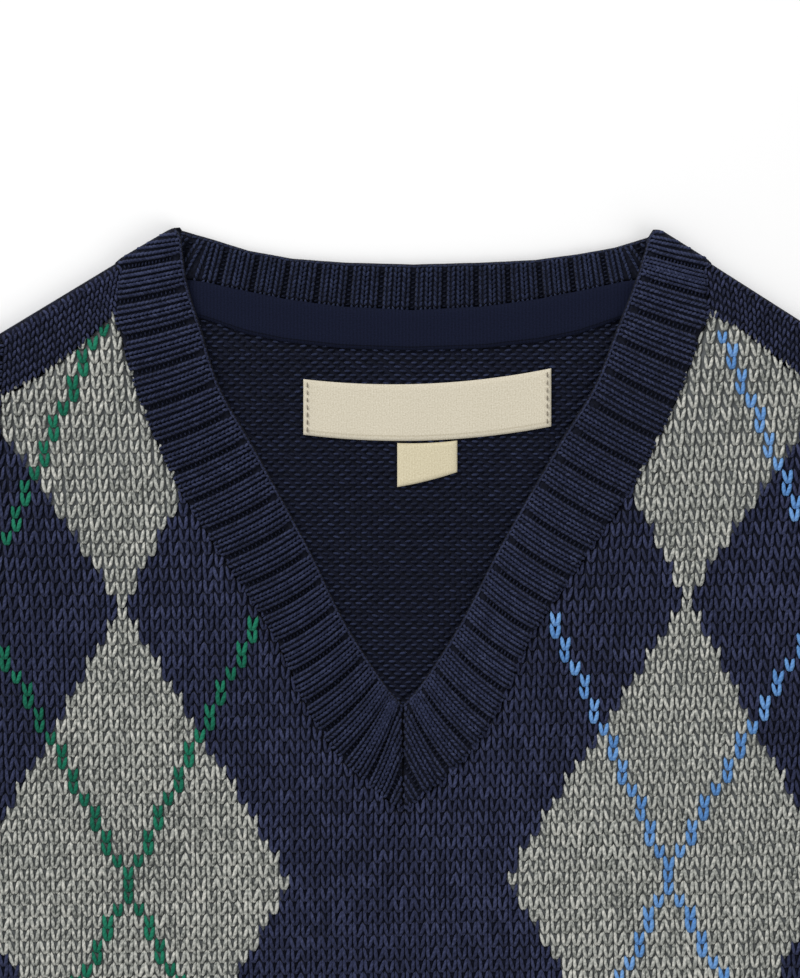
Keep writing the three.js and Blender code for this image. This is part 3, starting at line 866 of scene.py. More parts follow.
def rib_height(phase, across):
    """The height of a band at a phase of its ribs, 0 in a groove, and a share across it."""
    off_top = np.abs(2 * (phase % 1) - 1)
    rib = smooth((RIB_FOOT - off_top) / RIB_FLANK) * (1 - RIB_CROWN * off_top**2)
    near_rim = smooth((across - RIM_FROM) / RIM_SPAN)
    relief = mix(SEAM_RELIEF, 1, smooth(across / SEAM_SPAN)) * (1 - RIM_LOSS * near_rim)
    edge = read(BAND_EDGE, across)
    filled = RIM_FILL * (1 - relief) * smooth((across - 0.5) / 0.4) * edge
    return BAND_BASE * edge + RIB_RISE * (rib * relief + filled)


print("a rib stands", round(float(rib_height(0.5, 0.5) - rib_height(0, 0.5)), 2), "mm over its groove")

# %% [markdown]
# On the front neckband the ribs don't stand square to the seam. They turned with the band
# when it was stretched round the V, and lie flatter than a square rib would. So a rib is
# found by where it starts on the seam and how far it moves on its way to the rim.

# %% Front neckband
NECK_BAND_WIDTH = 26.0
MITRE_REACH = 2.2
MITRE_DEPTH = 0.55
HALVINGS = 16


def rib_slant(side, start):
    """How far along the seam a rib moves from the seam to the rim, by where it starts."""
    return read(RIB_SLANT, start, column_of(side))


def rib_number(side, share, across):
    """The number of the rib through a point of the band, whole in a groove."""
    low, high = np.full(np.shape(share), NECK_GROOVES[0][column_of(side)]), np.ones(np.shape(share))
    for _ in range(HALVINGS):
        middle = (low + high) / 2
        before = middle + across * rib_slant(side, middle) < share
        low, high = np.where(before, middle, low), np.where(before, high, middle)
    return read([(row[column_of(side)], row[0]) for row in NECK_GROOVES], low)


def fold_reach(across, corner, taper=0.0):
    """How far a band reaches over the shoulder fold: less at its rim, so the corner is round."""
    at_rim = np.clip((across - 1) / CORNER_SHARE + 1, 0, 1)
    at_seam = np.clip(1 - across / CORNER_SHARE, 0, 1)
    return FOLD_REACH * (1 - taper * across - corner * at_rim**2 - FOLD_TUCK * at_seam**2)


def front_band(side, along, across):
    """A point of the front neckband: along in mm from the shoulder, across from seam to rim."""
    seam, rim = neck_seam[side], neck_rim[side]
    share = along / seam.length
    xy = mix(seam.at(share), rim.at(share), across[..., None])
    sine = np.clip(-along / FOLD_REACH, 0, 1)
    reach = sine * fold_reach(across, FRONT_CORNER[side])
    xy = xy + reach[..., None] * SHOULDER_WAY * np.array([side, 1])
    lap = FOLD_LAP * sine * np.clip(1 - across / LAP_SHARE, 0, 1)
    xy = xy + lap[..., None] * np.array([side * SHOULDER_WAY[1], -SHOULDER_WAY[0]])
    mitre = 1 - smooth(np.abs(xy[..., 0] - lean(xy[..., 1])) / MITRE_REACH)
    height = rib_height(rib_number(side, share, across), across) * (1 - MITRE_DEPTH * mitre)
    floor = front_floor(xy[..., 0], xy[..., 1])
    z = mix(floor + height, SHOULDER_LIFT, 1 - np.sqrt(1 - sine**2))
    xy[..., 0] = side * np.maximum(SEAM_GAP / 2, side * xy[..., 0])
    return np.concatenate([xy, z[..., None]], -1)


def on_neck_rib(side, number, across):
    """A point of the front neckband by the number of its rib, whole in a groove."""
    start = read(NECK_GROOVES, number, column_of(side))
    along = (start + across * rib_slant(side, start)) * neck_seam[side].length
    return front_band(side, along, across)


# %% Front neckband shells
def grid_of(surface, alongs, acrosses):
    """A grid of points of a surface."""
    along, across = np.meshgrid(alongs, acrosses)
    return surface(along, across)


def fold_steps(reach, count=6):
    """Steps out over a fold, closer together towards its edge."""
    return reach * np.sin(np.linspace(0, math.pi / 2, count + 1))[1:]


NECK_TOP_ROWS = [0.84, 0.88, 0.92, 0.95, 0.98, 1]
NECK_ACROSS = np.concatenate([[0, 0.025, 0.06], np.linspace(0.1, 0.8, 9), NECK_TOP_ROWS])
NECK_FOLD_STEPS = 14
TIP_FROM, TIP_SPAN = 0.78, 0.22
THINNEST = 0.02


def neckband_shell(side, name):
    """Its columns of points follow the ribs, and fan out at the shoulder and at the tip."""
    length = neck_seam[side].length
    level = np.linspace(0, length, int(NECK_GROOVES[-1][0] * SAMPLES_PER_RIB))
    over_fold = -fold_steps(FOLD_REACH, NECK_FOLD_STEPS)[::-1]
    along, across = np.meshgrid(np.concatenate([over_fold, level]), NECK_ACROSS)
    fan = np.clip(1 + along / FOLD_REACH, 0, 1) * (1 - smooth((along / length - TIP_FROM) / TIP_SPAN))
    along = along + fan * across * rib_slant(side, along / length) * length
    outer = front_band(side, along, across)
    inner = outer.copy()
    inner[..., 2] = np.minimum(front_floor(outer[..., 0], outer[..., 1]), outer[..., 2] - THINNEST)
    piece = wall(name, outer, inner)
    dress(piece, band_gap_shade, band_plain)
    return piece


neckband_left = neckband_shell(-1, "neckband_left_cloth")
neckband_right = neckband_shell(1, "neckband_right_cloth")

# %% [markdown]
# The back neckband lies under the front ones. Its ribs show in the neck opening, where they
# fan out towards the shoulders, and at each end it bends up into the shoulder fold.

# %% Back neckband
BACK_BAND_WIDTH = 15.0
BACK_BAND_HALF = BACK_RIM[-1][0]
BACK_FOLD_TOP = SHOULDER_LIFT - SEAM_GAP - 0.05
BACK_FOLD_INSIDE = SHOULDER_LIFT - SEAM_GAP - 0.1


def past_fold(along):
    """How far a point is past the back neckband's end: 0 before it, 1 at the edge of the fold."""
    return np.clip((np.abs(along) - BACK_BAND_HALF) / FOLD_REACH, 0, 1)


def back_band(along, across):
    """A point of the back neckband's inner face: along from the centre line, to the right."""
    rim_half = np.clip(along, -BACK_BAND_HALF, BACK_BAND_HALF)
    share = np.abs(rim_half)
    seam_half = np.interp(share, [p[0] for p in BACK_RIM], [p[0] for p in BACK_SEAM])
    rim_y = np.where(along < 0, read(BACK_RIM, share, 1), read(BACK_RIM, share, 2))
    seam_y = read(BACK_SEAM, seam_half)
    seam = np.stack([np.sign(rim_half) * seam_half + lean(seam_y), seam_y], -1)
    rim = np.stack([rim_half + lean(rim_y), rim_y], -1)
    xy = mix(seam, rim, across[..., None])
    sine = past_fold(along)
    way = np.stack([np.sign(along) * SHOULDER_WAY[0], np.full(along.shape, SHOULDER_WAY[1])], -1)
    corner, taper = (np.where(along < 0, *pair) for pair in (BACK_CORNER, BACK_TAPER))
    xy = xy + (sine * fold_reach(across, corner, taper))[..., None] * way
    height = rib_height((along / (2 * BACK_BAND_HALF) + 0.5) * BACK_NECK_RIBS + 0.5, across)
    z = mix(height, BACK_FOLD_TOP, 1 - np.sqrt(1 - sine**2))
    return np.concatenate([xy, z[..., None]], -1)


BACK_ACROSS = np.concatenate([[0, 0.04, 0.1], np.linspace(0.18, 0.8, 6), [0.86, 0.91, 0.95, 0.98, 1]])
fold = fold_steps(FOLD_REACH)
level = np.linspace(-BACK_BAND_HALF, BACK_BAND_HALF, BACK_NECK_RIBS * SAMPLES_PER_RIB)
alongs = np.concatenate([level[0] - fold[::-1], level, level[-1] + fold])
outer = grid_of(back_band, alongs, BACK_ACROSS)
inner = outer.copy()
inner[..., 2] = BACK_FOLD_INSIDE * (1 - np.sqrt(1 - past_fold(alongs) ** 2))
neckband_back = wall("neckband_back_cloth", outer, inner)
dress(neckband_back, band_gap_shade, band_plain)

# %% [markdown]
# An armhole band is one ribbed ring. It lies double: its upper run shows on the front, it
# folds at the shoulder and under the arm, and its lower run rests flat on the table.

# %% Armhole bands
UNDERARM_UPRIGHT = 0.5
SHOULDER_SHARE = 0.12
ARM_LOWER_STEPS = 60
TURN_STEPS = 9
INNER_REACH = 0.9


def arm_place(side, share, across):
    """Where the band lies in plan: a share along the armhole, and a share across the band."""
    seam = armhole[side]
    start = seam.beside(share, side, SEAM_GAP)
    way = seam.beside(share, side, 1) - seam.at(share)
    flat = np.array([side * SHOULDER_WAY[1], -SHOULDER_WAY[0]])
    at_shoulder = (1 - np.clip(share / SHOULDER_SHARE, 0, 1)) ** 2
    way = mix(way, flat, at_shoulder[..., None])
    upright = UNDERARM_UPRIGHT * smooth((share - 0.5) / 0.5)
    way = mix(way, np.array([0.0, 1.0]), upright[..., None])
    return start + unit(way) * (ARM_BAND_WIDTH * across)[..., None]


def arm_under(side):
    """The share of the armhole where its band turns under the arm."""
    return 1 - (SIDE_REACH + SEAM_GAP) / armhole[side].length


def arm_band(side, along, across):
    """A point of the upper run: along is 0 at the shoulder fold and 1 under the arm."""
    xy = arm_place(side, arm_under(side) * along, across)
    floor = front_floor(xy[..., 0], xy[..., 1])
    height = rib_height(along * ARM_RIBS + 0.5, across)
    return np.concatenate([xy, (floor + height)[..., None]], -1)


# %% Armhole band shells
ARM_ACROSS = np.concatenate([[0, 0.04, 0.1], np.linspace(0.18, 0.8, 7), [0.86, 0.91, 0.95, 0.98, 1]])


def half_turn(upper, lower, way, reach):
    """Points that lead from the upper run round a fold to the lower run."""
    out = np.array([way[0], way[1], 0]) * reach
    turns = np.linspace(0, 1, TURN_STEPS + 1)[1:-1] * math.pi
    return np.stack(
        [mix(upper, lower, (1 - math.cos(turn)) / 2) + out * math.sin(turn) for turn in turns], axis=1
    )


def arm_ring(side, upper, lower, shoulder_reach, side_reach):
    """The whole way round a band: its upper run, the shoulder fold, its lower run, the other fold."""
    shoulder_way = SHOULDER_WAY * np.array([side, 1])
    arm_way = armhole[side].way(np.array(arm_under(side)))
    at_shoulder = half_turn(upper[:, -1], lower[:, 0], shoulder_way, shoulder_reach)
    under_arm = half_turn(lower[:, -1], upper[:, 0], arm_way, side_reach)
    return np.concatenate([upper, at_shoulder, lower, under_arm], axis=1)


def arm_shell(side, name):
    """The closed shell of an armhole band."""
    alongs = np.linspace(1, 0, ARM_RIBS * SAMPLES_PER_RIB)
    upper = grid_of(lambda a, c: arm_band(side, a, c), alongs, ARM_ACROSS)
    upper_inner = upper.copy()
    upper_inner[..., 2] = front_floor(upper[..., 0], upper[..., 1])
    share, across = np.meshgrid(np.linspace(0, 1, ARM_LOWER_STEPS) * arm_under(side), ARM_ACROSS)
    plan = arm_place(side, share, across)
    lower = np.concatenate([plan, np.zeros(share.shape + (1,))], -1)
    lower_inner = lower.copy()
    lower_inner[..., 2] = BAND_WALL
    outer = arm_ring(side, upper, lower, FOLD_REACH, SIDE_REACH)
    inner = arm_ring(side, upper_inner, lower_inner, INNER_REACH, INNER_REACH)
    piece = wall(name, outer, inner, closed=True)
    dress(piece, band_gap_shade, band_plain)
    return piece


arm_left = arm_shell(-1, "armhole_band_left_cloth")
arm_right = arm_shell(1, "armhole_band_right_cloth")

# %% [markdown]
# The hem closes the vest with two deep ribbed strips, one on each layer. The front one
# shows its ribs. The back one lies face down, and its ribs are only drawn on its underside.

# %% Hem
HEM_SIDE = [(HEM_Y, 165.5), (-188.0, 167.0), (WAIST_Y, 170.0)]
HEM_HALF = 168
HEM_EDGE_RISE = 0.1
HEM_THINNEST = 0.05


def hem_place(along, across):
    """A point of the hem in plan: along from -1 to 1 between the sides, across from the waist."""
    y = mix(WAIST_Y, HEM_Y, across)
    half = read(HEM_SIDE, y)
    return np.stack([along * half, y], -1)


def hem_surface(along, across):
    """A point of the front hem's outer face. It bends down at the sides."""
    xy = hem_place(along, across)
    half = read(HEM_SIDE, xy[..., 1])
    sine = np.clip((np.abs(xy[..., 0]) - half + SIDE_REACH) / SIDE_REACH, 0, 1)
    height = rib_height((along + 1) / 2 * HEM_RIBS + 0.5, across)
    z = front_floor(xy[..., 0], xy[..., 1]) + height
    z = mix(z, FRONT_LIFT + HEM_EDGE_RISE, 1 - np.sqrt(1 - sine**2))
    return np.concatenate([xy, z[..., None]], -1)


HEM_ACROSS = np.concatenate([[0, 0.02, 0.05, 0.1], np.linspace(0.16, 0.8, 9), [0.85, 0.9, 0.94, 0.97, 1]])
edge = 1 - SIDE_REACH / HEM_HALF * (1 - np.sin(np.linspace(0, math.pi / 2, 5)))
alongs = np.linspace(-edge[0], edge[0], HEM_RIBS * SAMPLES_PER_RIB)
alongs = np.concatenate([-edge[:0:-1], alongs, edge[1:]])
outer = grid_of(hem_surface, alongs, HEM_ACROSS)
inner = outer.copy()
inner[..., 2] = np.minimum(front_floor(outer[..., 0], outer[..., 1]), outer[..., 2] - HEM_THINNEST)
hem_front = wall("hem_front_cloth", outer, inner)
dress(hem_front, band_gap_shade, band_plain)

hem_back = finer_copy("hem_rib_back", "hem_back_cloth", 2)
hem_back.data.materials.append(band_plain)

# %% [markdown]
# Now the loops. On the right side of plain knit each loop shows as a V: two legs that rise
# from one point, lean apart and dive under the next loop. On the wrong side it shows as
# short level bumps. One leg is a fat thread with a point at each end: a few rings of four
# or five points. It has few faces because there are thousands of it. Its strand attribute
# runs along and around it, so the twist of the yarn follows the leg.

# %% One loop of yarn
def thread(rows, sides):
    """A closed thread. A row is x, y, z of its middle, its half width and its half height."""
    rows = np.array(rows, float)
    turns = (np.arange(sides) + 0.5) / sides * 2 * math.pi - math.pi / 2
    ways = np.gradient(rows[:, :2], axis=0)
    ways /= np.linalg.norm(ways, axis=1, keepdims=True)
    points = [rows[0, :3]]
    strand = [(0.0, 0.0)]
    for k in range(1, len(rows) - 1):
        aside = np.array([ways[k, 1], -ways[k, 0], 0])
        for n, turn in enumerate(turns):
            off = aside * math.cos(turn) * rows[k, 3] + np.array([0, 0, 1]) * math.sin(turn) * rows[k, 4]
            points.append(rows[k, :3] + off)
            strand.append((n / sides, k / (len(rows) - 1)))
    points.append(rows[-1, :3])
    strand.append((0.0, 1.0))
    faces = []
    last_ring = 1 + sides * (len(rows) - 3)
    for n in range(sides):
        m = (n + 1) % sides
        faces.append((0, 1 + m, 1 + n))
        for k in range(len(rows) - 3):
            low = 1 + k * sides
            faces.append((low + n, low + m, low + sides + m, low + sides + n))
        faces.append((len(points) - 1, last_ring + n, last_ring + m))
    return points, faces, strand


# %% A pattern of threads
def loop_object(name, threads, sides=4):
    """One mesh of a few threads, kept out of the vest and used only as a pattern."""
    points, faces, strands = [], [], []
    for rows in threads:
        new_points, new_faces, strand = thread(rows, sides)
        faces += [tuple(len(points) + i for i in face) for face in new_faces]
        points += new_points
        strands += strand
    mesh = bpy.data.meshes.new(name)
    mesh.from_pydata([tuple(np.array(p) * MM) for p in points], [], faces)
    form = bmesh.new()
    form.from_mesh(mesh)
    bmesh.ops.recalc_face_normals(form, faces=form.faces)
    form.to_mesh(mesh)
    form.free()
    attribute = mesh.attributes.new("strand", "FLOAT_VECTOR", "POINT")
    for item, (around, along) in zip(attribute.data, strands):
        item.vector = (around, along * 3, 0)
    made = new_object(name, smooth_shaded(mesh))
    print(name, sum(len(face) - 2 for face in faces), "triangles")
    return made


# %% The legs and bumps of a loop
LEG_START, LEG_END = -2.2, 2.9


def v_leg(side, girth=1.0):
    """One leg of a V, in mm from the middle of its loop: blunt at its foot, sharp at its top."""
    rows = []
    for share, aside, height, half_width, half_height in (
        (0.0, 0.1, 0.25, 0, 0),
        (0.11, 0.4, 0.5, 0.48, 0.4),
        (0.44, 0.88, 0.72, 0.61, 0.46),
        (0.77, 1.16, 0.45, 0.48, 0.38),
        (1.0, 1.36, -0.2, 0, 0),
    ):
        y = mix(LEG_START, LEG_END, share)
        rows.append((side * aside, y, height, half_width * girth, half_height * girth))
    return rows


def single_leg(length, half_width, half_height):
    """A straight leg for ribs and edges, its middle a little nearer its start."""
    return [
        (0, -length / 2, -0.05, 0, 0),
        (0, -length * 0.27, 0.4, half_width * 0.85, half_height * 0.9),
        (0, length * 0.02, 0.5, half_width, half_height),
        (0, length * 0.3, 0.3, half_width * 0.75, half_height * 0.8),
        (0, length / 2, -0.15, 0, 0),
    ]


v_loop = loop_object("v_loop", [v_leg(-1), v_leg(1)], sides=5)
mark_loop = loop_object("mark_loop", [v_leg(-1, 1.2), v_leg(1, 1.2)], sides=5)
rib_leg = loop_object("rib_leg", [single_leg(2.3, 0.56, 0.42)])
strip_leg = loop_object("strip_leg", [single_leg(2.9, 0.6, 0.45)])
groove_bump = loop_object("groove_bump", [single_leg(1.7, 0.34, 0.25)])
purl_bump = loop_object("purl_bump", [single_leg(2.5, 0.48, 0.5)])

# %% [markdown]
# The loops are set out by Geometry Nodes. Each point of a bare mesh says where a loop sits,
# which way it runs and which way is up. The tree turns a copy of the loop to match, shakes
# its turn, size and tone a little, because yarn is never laid twice alike, and makes one
# plain mesh of them all.

# %% The tree that sets loops on points
LOOP_TREE = bpy.data.node_groups.new("loops on points", "GeometryNodeTree")
LOOP_INPUTS = {
    "Points": "NodeSocketGeometry",
    "Loop": "NodeSocketObject",
    "Yarn": "NodeSocketMaterial",
    "Turn unevenness": "NodeSocketFloat",
    "Size unevenness": "NodeSocketFloat",
    "Tone unevenness": "NodeSocketFloat",
    "Seed": "NodeSocketInt",
}
LOOP_SOCKETS = {
    label: LOOP_TREE.interface.new_socket(label, in_out="INPUT", socket_type=kind).identifier
    for label, kind in LOOP_INPUTS.items()
}
LOOP_TREE.interface.new_socket("Loops", in_out="OUTPUT", socket_type="NodeSocketGeometry")

# A random value node has sockets for each kind of data too, and these are its floats
RANDOM_LOW, RANDOM_HIGH, RANDOM_SEED, RANDOM_VALUE = 2, 3, 8, 1


def build_loop_tree(tree):
    """Turns, sizes and shades a loop for each point, then makes them real and dresses them."""
    given = add(tree, "NodeGroupInput").outputs
    way = add(tree, "GeometryNodeInputNamedAttribute", {"data_type": "FLOAT_VECTOR", "Name": "way"})
    up = add(tree, "GeometryNodeInputNamedAttribute", {"data_type": "FLOAT_VECTOR", "Name": "up"})
    size = add(tree, "GeometryNodeInputNamedAttribute", {"data_type": "FLOAT", "Name": "size"})
    tone = add(tree, "GeometryNodeInputNamedAttribute", {"data_type": "FLOAT", "Name": "tone"})

    def uneven(label, shift):
        """A random value between minus and plus an input, on its own seed."""
        low = add(tree, "ShaderNodeMath", {"operation": "MULTIPLY", 1: -1.0}, {0: given[label]})
        seed = add(tree, "ShaderNodeMath", {"operation": "ADD", 1: float(shift)}, {0: given["Seed"]})
        ends = {RANDOM_LOW: low, RANDOM_HIGH: given[label], RANDOM_SEED: seed}
        return add(tree, "FunctionNodeRandomValue", {"data_type": "FLOAT"}, ends).outputs[RANDOM_VALUE]

    along = add(tree, "FunctionNodeAlignRotationToVector", {"axis": "Y"}, {"Vector": way})
    turning = {"axis": "Z", "pivot_axis": "Y"}
    upright = add(tree, "FunctionNodeAlignRotationToVector", turning, {"Rotation": along, "Vector": up})
    angle = uneven("Turn unevenness", 1)
    shake = add(tree, "FunctionNodeAxisAngleToRotation", {"Axis": (0, 0, 1)}, {"Angle": angle})
    turned = add(tree, "FunctionNodeRotateRotation", {"rotation_space": "LOCAL"}, {0: upright, 1: shake})
    grown = add(tree, "ShaderNodeMath", {"operation": "ADD"}, {0: size, 1: uneven("Size unevenness", 2)})
    shaded = add(tree, "ShaderNodeMath", {"operation": "ADD"}, {0: tone, 1: uneven("Tone unevenness", 3)})
    stored = {"data_type": "FLOAT", "domain": "POINT", "Name": "tone"}
    on_points = {"Geometry": given["Points"], "Value": shaded}
    toned = add(tree, "GeometryNodeStoreNamedAttribute", stored, on_points)
    loop = add(tree, "GeometryNodeObjectInfo", {}, {"Object": given["Loop"]}).outputs["Geometry"]
    placing = {"Points": toned, "Instance": loop, "Rotation": turned, "Scale": grown}
    placed = add(tree, "GeometryNodeInstanceOnPoints", {}, placing)
    real = add(tree, "GeometryNodeRealizeInstances", {}, {"Geometry": placed})
    dressed = add(tree, "GeometryNodeSetMaterial", {}, {"Geometry": real, "Material": given["Yarn"]})
    add(tree, "NodeGroupOutput", {}, {0: dressed})


build_loop_tree(LOOP_TREE)
print("the tree has", len(LOOP_TREE.nodes), "nodes and", len(LOOP_INPUTS), "inputs")

# %% [markdown]
# A class holds the places of a set of loops, so that they can be sorted and joined before
# any mesh exists. Then one function runs the tree over them and keeps only its result: a
# plain mesh, because the finished model can't hold copies that point at a pattern.

# %% Loops as one plain mesh
class Places:
    """Where loops sit: points, the way each runs, which way is up, its size and its tone."""

    def __init__(self, points, way, up, size=1.0, tone=0.5):
        count = len(points)
        self.points, self.way, self.up = points, way, up
        self.size = np.broadcast_to(size, count)
        self.tone = np.broadcast_to(tone, count)

    def where(self, kept):
        """Only some of the places."""
        return Places(self.points[kept], self.way[kept], self.up[kept], self.size[kept], self.tone[kept])


def joined(parts):
    """All the places of some sets as one."""
    labels = ("points", "way", "up", "size", "tone")
    return Places(*(np.concatenate([getattr(part, label) for part in parts]) for label in labels))


def point_object(name, places):
    """A bare mesh with a point for each place, which carries the rest as attributes."""
    mesh = bpy.data.meshes.new(name)
    mesh.from_pydata((places.points * MM).tolist(), [], [])
    for label, kind, field in (
        ("way", "FLOAT_VECTOR", "vector"),
        ("up", "FLOAT_VECTOR", "vector"),
        ("size", "FLOAT", "value"),
        ("tone", "FLOAT", "value"),
    ):
        values = np.array(getattr(places, label), float).ravel()
        mesh.attributes.new(label, kind, "POINT").data.foreach_set(field, values)
    return new_object(name, mesh)


def set_loops(name, places, loop, material, turn=6, size=0.06, tone=0.12, seed=1):
    """Makes one piece of all the loops at some places."""
    points = point_object(name + " places", places)
    modifier = points.modifiers.new("loops", "NODES")
    modifier.node_group = LOOP_TREE
    values = {
        "Loop": loop,
        "Yarn": material,
        "Turn unevenness": math.radians(turn),
        "Size unevenness": size,
        "Tone unevenness": tone,
        "Seed": seed,
    }
    for label, value in values.items():
        modifier[LOOP_SOCKETS[label]] = value
    finished = points.evaluated_get(bpy.context.evaluated_depsgraph_get())
    made = bpy.data.meshes.new_from_object(finished)
    made.name = name
    bpy.data.objects.remove(points)
    for label in ("way", "up", "size"):
        if label in made.attributes:
            made.attributes.remove(made.attributes[label])
    piece = new_object(name, smooth_shaded(made))
    print(name, len(places.points), "loops,", sum(len(p.vertices) - 2 for p in made.polygons), "triangles")
    return piece


def directions(surface, along, across, step_along, step_across):
    """Unit vectors across and out of a surface, worked out from near points."""
    way = unit(surface(along, across + step_across) - surface(along, across - step_across))
    side = unit(surface(along + step_along, across) - surface(along - step_along, across))
    up = np.cross(side, way)
    return way, side, unit(up * np.sign(up[..., 2:]))


# %% [markdown]
# The front is knitted in plain knit, with the argyle worked into it. Its loops are sorted
# by colour, and each colour of a half becomes one piece.

# %% Places of the front's loops
NECK_LOOP_INSET = -1.3
SHOULDER_LOOP_INSET = -0.9
SIDE_LOOP_INSET = 2.2
WAIST_LOOP_INSET = 1.0
NEAR = 0.8
HALF_COLUMNS, ALL_ROWS = 52, int(LAID_ROWS[-1][0])

columns, rows = np.meshgrid(np.arange(-HALF_COLUMNS, HALF_COLUMNS + 1), np.arange(ALL_ROWS))
columns, rows = columns.ravel(), rows.ravel()
x, y = laid(columns, rows)
kept = inside(closed_edge(front_edge(NECK_LOOP_INSET, SHOULDER_LOOP_INSET)), x, y)
kept &= (y > WAIST_Y + WAIST_LOOP_INSET) & (np.abs(x) < side_half(y) - SIDE_LOOP_INSET)
columns, rows, x, y = columns[kept], rows[kept], x[kept], y[kept]


def wave(x, y, size, seed):
    """A soft uneven value between -1 and 1 that drifts across the cloth."""
    return (
        np.sin(x / size + seed) * np.cos(y / (size * 1.3) - seed * 2)
        + np.sin((x + y) / (size * 2.1) + seed * 3)
    ) / 2


way, _, up = directions(front_surface, x, y, NEAR, NEAR)
front_loops = Places(
    front_surface(x, y),
    way,
    up,
    size=1 + 0.03 * wave(x, y, 9, 1),
    tone=0.5 + 0.06 * wave(x, y, 14, 2),
)
print(len(x), "loops on the front")

# %% Loops of the front, by colour
MARK_INSET = 3.4
clear = inside(closed_edge(front_edge(MARK_INSET)), x, y)
colours = chart(columns, rows, marked=clear)

front_pieces = []
for name, colour, half, loop, material, seed in (
    ("front_knit_navy_left", NAVY, -1, v_loop, navy_yarn, 11),
    ("front_knit_navy_right", NAVY, 1, v_loop, navy_yarn, 12),
    ("argyle_knit_grey_left", GREY, -1, v_loop, grey_yarn, 13),
    ("argyle_knit_grey_right", GREY, 1, v_loop, grey_yarn, 14),
    ("argyle_knit_green", GREEN, -1, mark_loop, green_yarn, 15),
    ("argyle_knit_blue", BLUE, 1, mark_loop, blue_yarn, 16),
):
    on_half = columns < 0 if half < 0 else columns >= 0
    places = front_loops.where((colours == colour) & on_half)
    front_pieces.append(set_loops(name, places, loop, material, turn=8, size=0.08, tone=0.15, seed=seed))

# %% [markdown]
# The inside of the back shows in the neck opening. It is the wrong side of the knit:
# level bumps in rows, each row half a column off the last.

# %% Wrong side of the back
PURL_PITCH = 3.47
PURL_ROW = 1.3
PURL_MARGIN = 5.0
PURL_FOOT_Y = 58
PURL_HALF_COLUMNS, PURL_ROWS = 30, 105
UNDER_TAPE = 1.0


def back_surface(x, y):
    """Points on the inner face of the back."""
    z = BODY_WALL + creases(BACK_CREASES, x, y)
    return np.stack([x, y, z], -1)


def opening(margin):
    """The neck opening over the back panel, with a margin under the bands and the tape."""
    left = neck_rim[-1].beside(np.linspace(1, 0.1, 50), -1, margin)
    right = neck_rim[1].beside(np.linspace(1, 0.1, 50), 1, margin)
    return np.vstack([left, right[::-1]])


columns, rows = np.meshgrid(np.arange(-PURL_HALF_COLUMNS, PURL_HALF_COLUMNS + 1), np.arange(PURL_ROWS))
columns, rows = columns.ravel(), rows.ravel()
x = (columns + 0.5 * (rows % 2)) * PURL_PITCH
y = PURL_FOOT_Y + rows * PURL_ROW
tape_foot = read(TAPE_EDGE, np.abs(x - lean(y)))
kept = inside(opening(PURL_MARGIN), x, y) & (y < tape_foot + UNDER_TAPE)
kept &= ~inside(patch_outline(LABEL), x, y) & ~inside(patch_outline(TAB), x, y)
x, y = x[kept], y[kept]
places = Places(
    back_surface(x, y),
    way=np.tile([1.0, 0.0, 0.0], (len(x), 1)),
    up=np.tile([0.0, 0.0, 1.0], (len(x), 1)),
    size=1 + 0.04 * wave(x, y, 6, 3),
    tone=0.45 + 0.1 * wave(x, y, 11, 4),
)
uneven = {"turn": 12, "size": 0.1, "tone": 0.22, "seed": 21}
# The wrong side takes the darkened yarn: painted shade, as it lies under the front.
back_purl = set_loops("back_knit_inner_side", places, purl_bump, painted_shade_yarn, **uneven)

# %% [markdown]
# On a rib only the raised columns show. Each holds three columns of loops, so six lines of
# legs run along every rib, leaning towards each other in pairs, and the bound-off rim is a
# chain of level loops. In the grooves the sunken columns show their small level bumps.

# %% Places of loops on ribs
RIB_LINES = np.array([0.165, 0.283, 0.441, 0.559, 0.717, 0.835])
RIB_LEAN = 20
RIB_COURSE = 1.35
RIB_ENDS = (0.02, 0.93)
GROOVE_ENDS = (0.08, 0.82)
# How much darker the groove bumps are: painted shade in the grooves.
GROOVE_PAINTED_SHADE = 0.3
CHAIN_STEP = 1.6
CHAIN_LEAN = 12


def rib_places(
    surface, width, numbers, ends=RIB_ENDS, lines=RIB_LINES, course=RIB_COURSE, lean=RIB_LEAN
):
    """Leg places on the ribs of a band. The surface takes a rib's number and a share across."""
    courses = int(round((ends[1] - ends[0]) * width / course))
    parts = []
    for k, line in enumerate(lines):
        number, across = np.meshgrid(numbers + line, np.linspace(*ends, courses))
        number, across = number.ravel(), across.ravel()
        way, side, up = directions(surface, number, across, 0.04, 0.5 / width)
        turn = math.radians(lean) * (1 if k % 2 else -1)
        points = surface(number, across)
        tone = 0.5 + 0.08 * wave(points[:, 0], points[:, 1], 12, 5)
        parts.append(Places(points, way * math.cos(turn) + side * math.sin(turn), up, 1.0, tone))
    return joined(parts)


def groove_places(surface, width, numbers, ends=GROOVE_ENDS, course=RIB_COURSE):
    """Bumps in the grooves, where the sunken columns show their wrong side, level across, darkened as
    painted shade.
    """
    places = rib_places(surface, width, numbers, ends, lines=[0.0], course=course, lean=-90)
    places.tone = places.tone - GROOVE_PAINTED_SHADE
    return places


def chain_places(surface, width, alongs, along_step, across=0.965):
    """The chain of loops that binds off a band at its rim."""
    across = np.full(len(alongs), across)
    way, side, up = directions(surface, alongs, across, along_step, 0.5 / width)
    turn = np.radians(np.where(np.arange(len(alongs)) % 2, CHAIN_LEAN, -CHAIN_LEAN))[:, None]
    return Places(surface(alongs, across), side * np.cos(turn) + way * np.sin(turn), up, 0.85, 0.45)


def whole_and_half_ribs(surface, width, count, **setting):
    """Leg places on a band that starts and ends in the middle of a rib."""
    half = len(RIB_LINES) // 2
    return [
        rib_places(surface, width, np.array([0]), lines=RIB_LINES[half:], **setting),
        rib_places(surface, width, np.arange(1, count), **setting),
        rib_places(surface, width, np.array([count]), lines=RIB_LINES[:half], **setting),
    ]


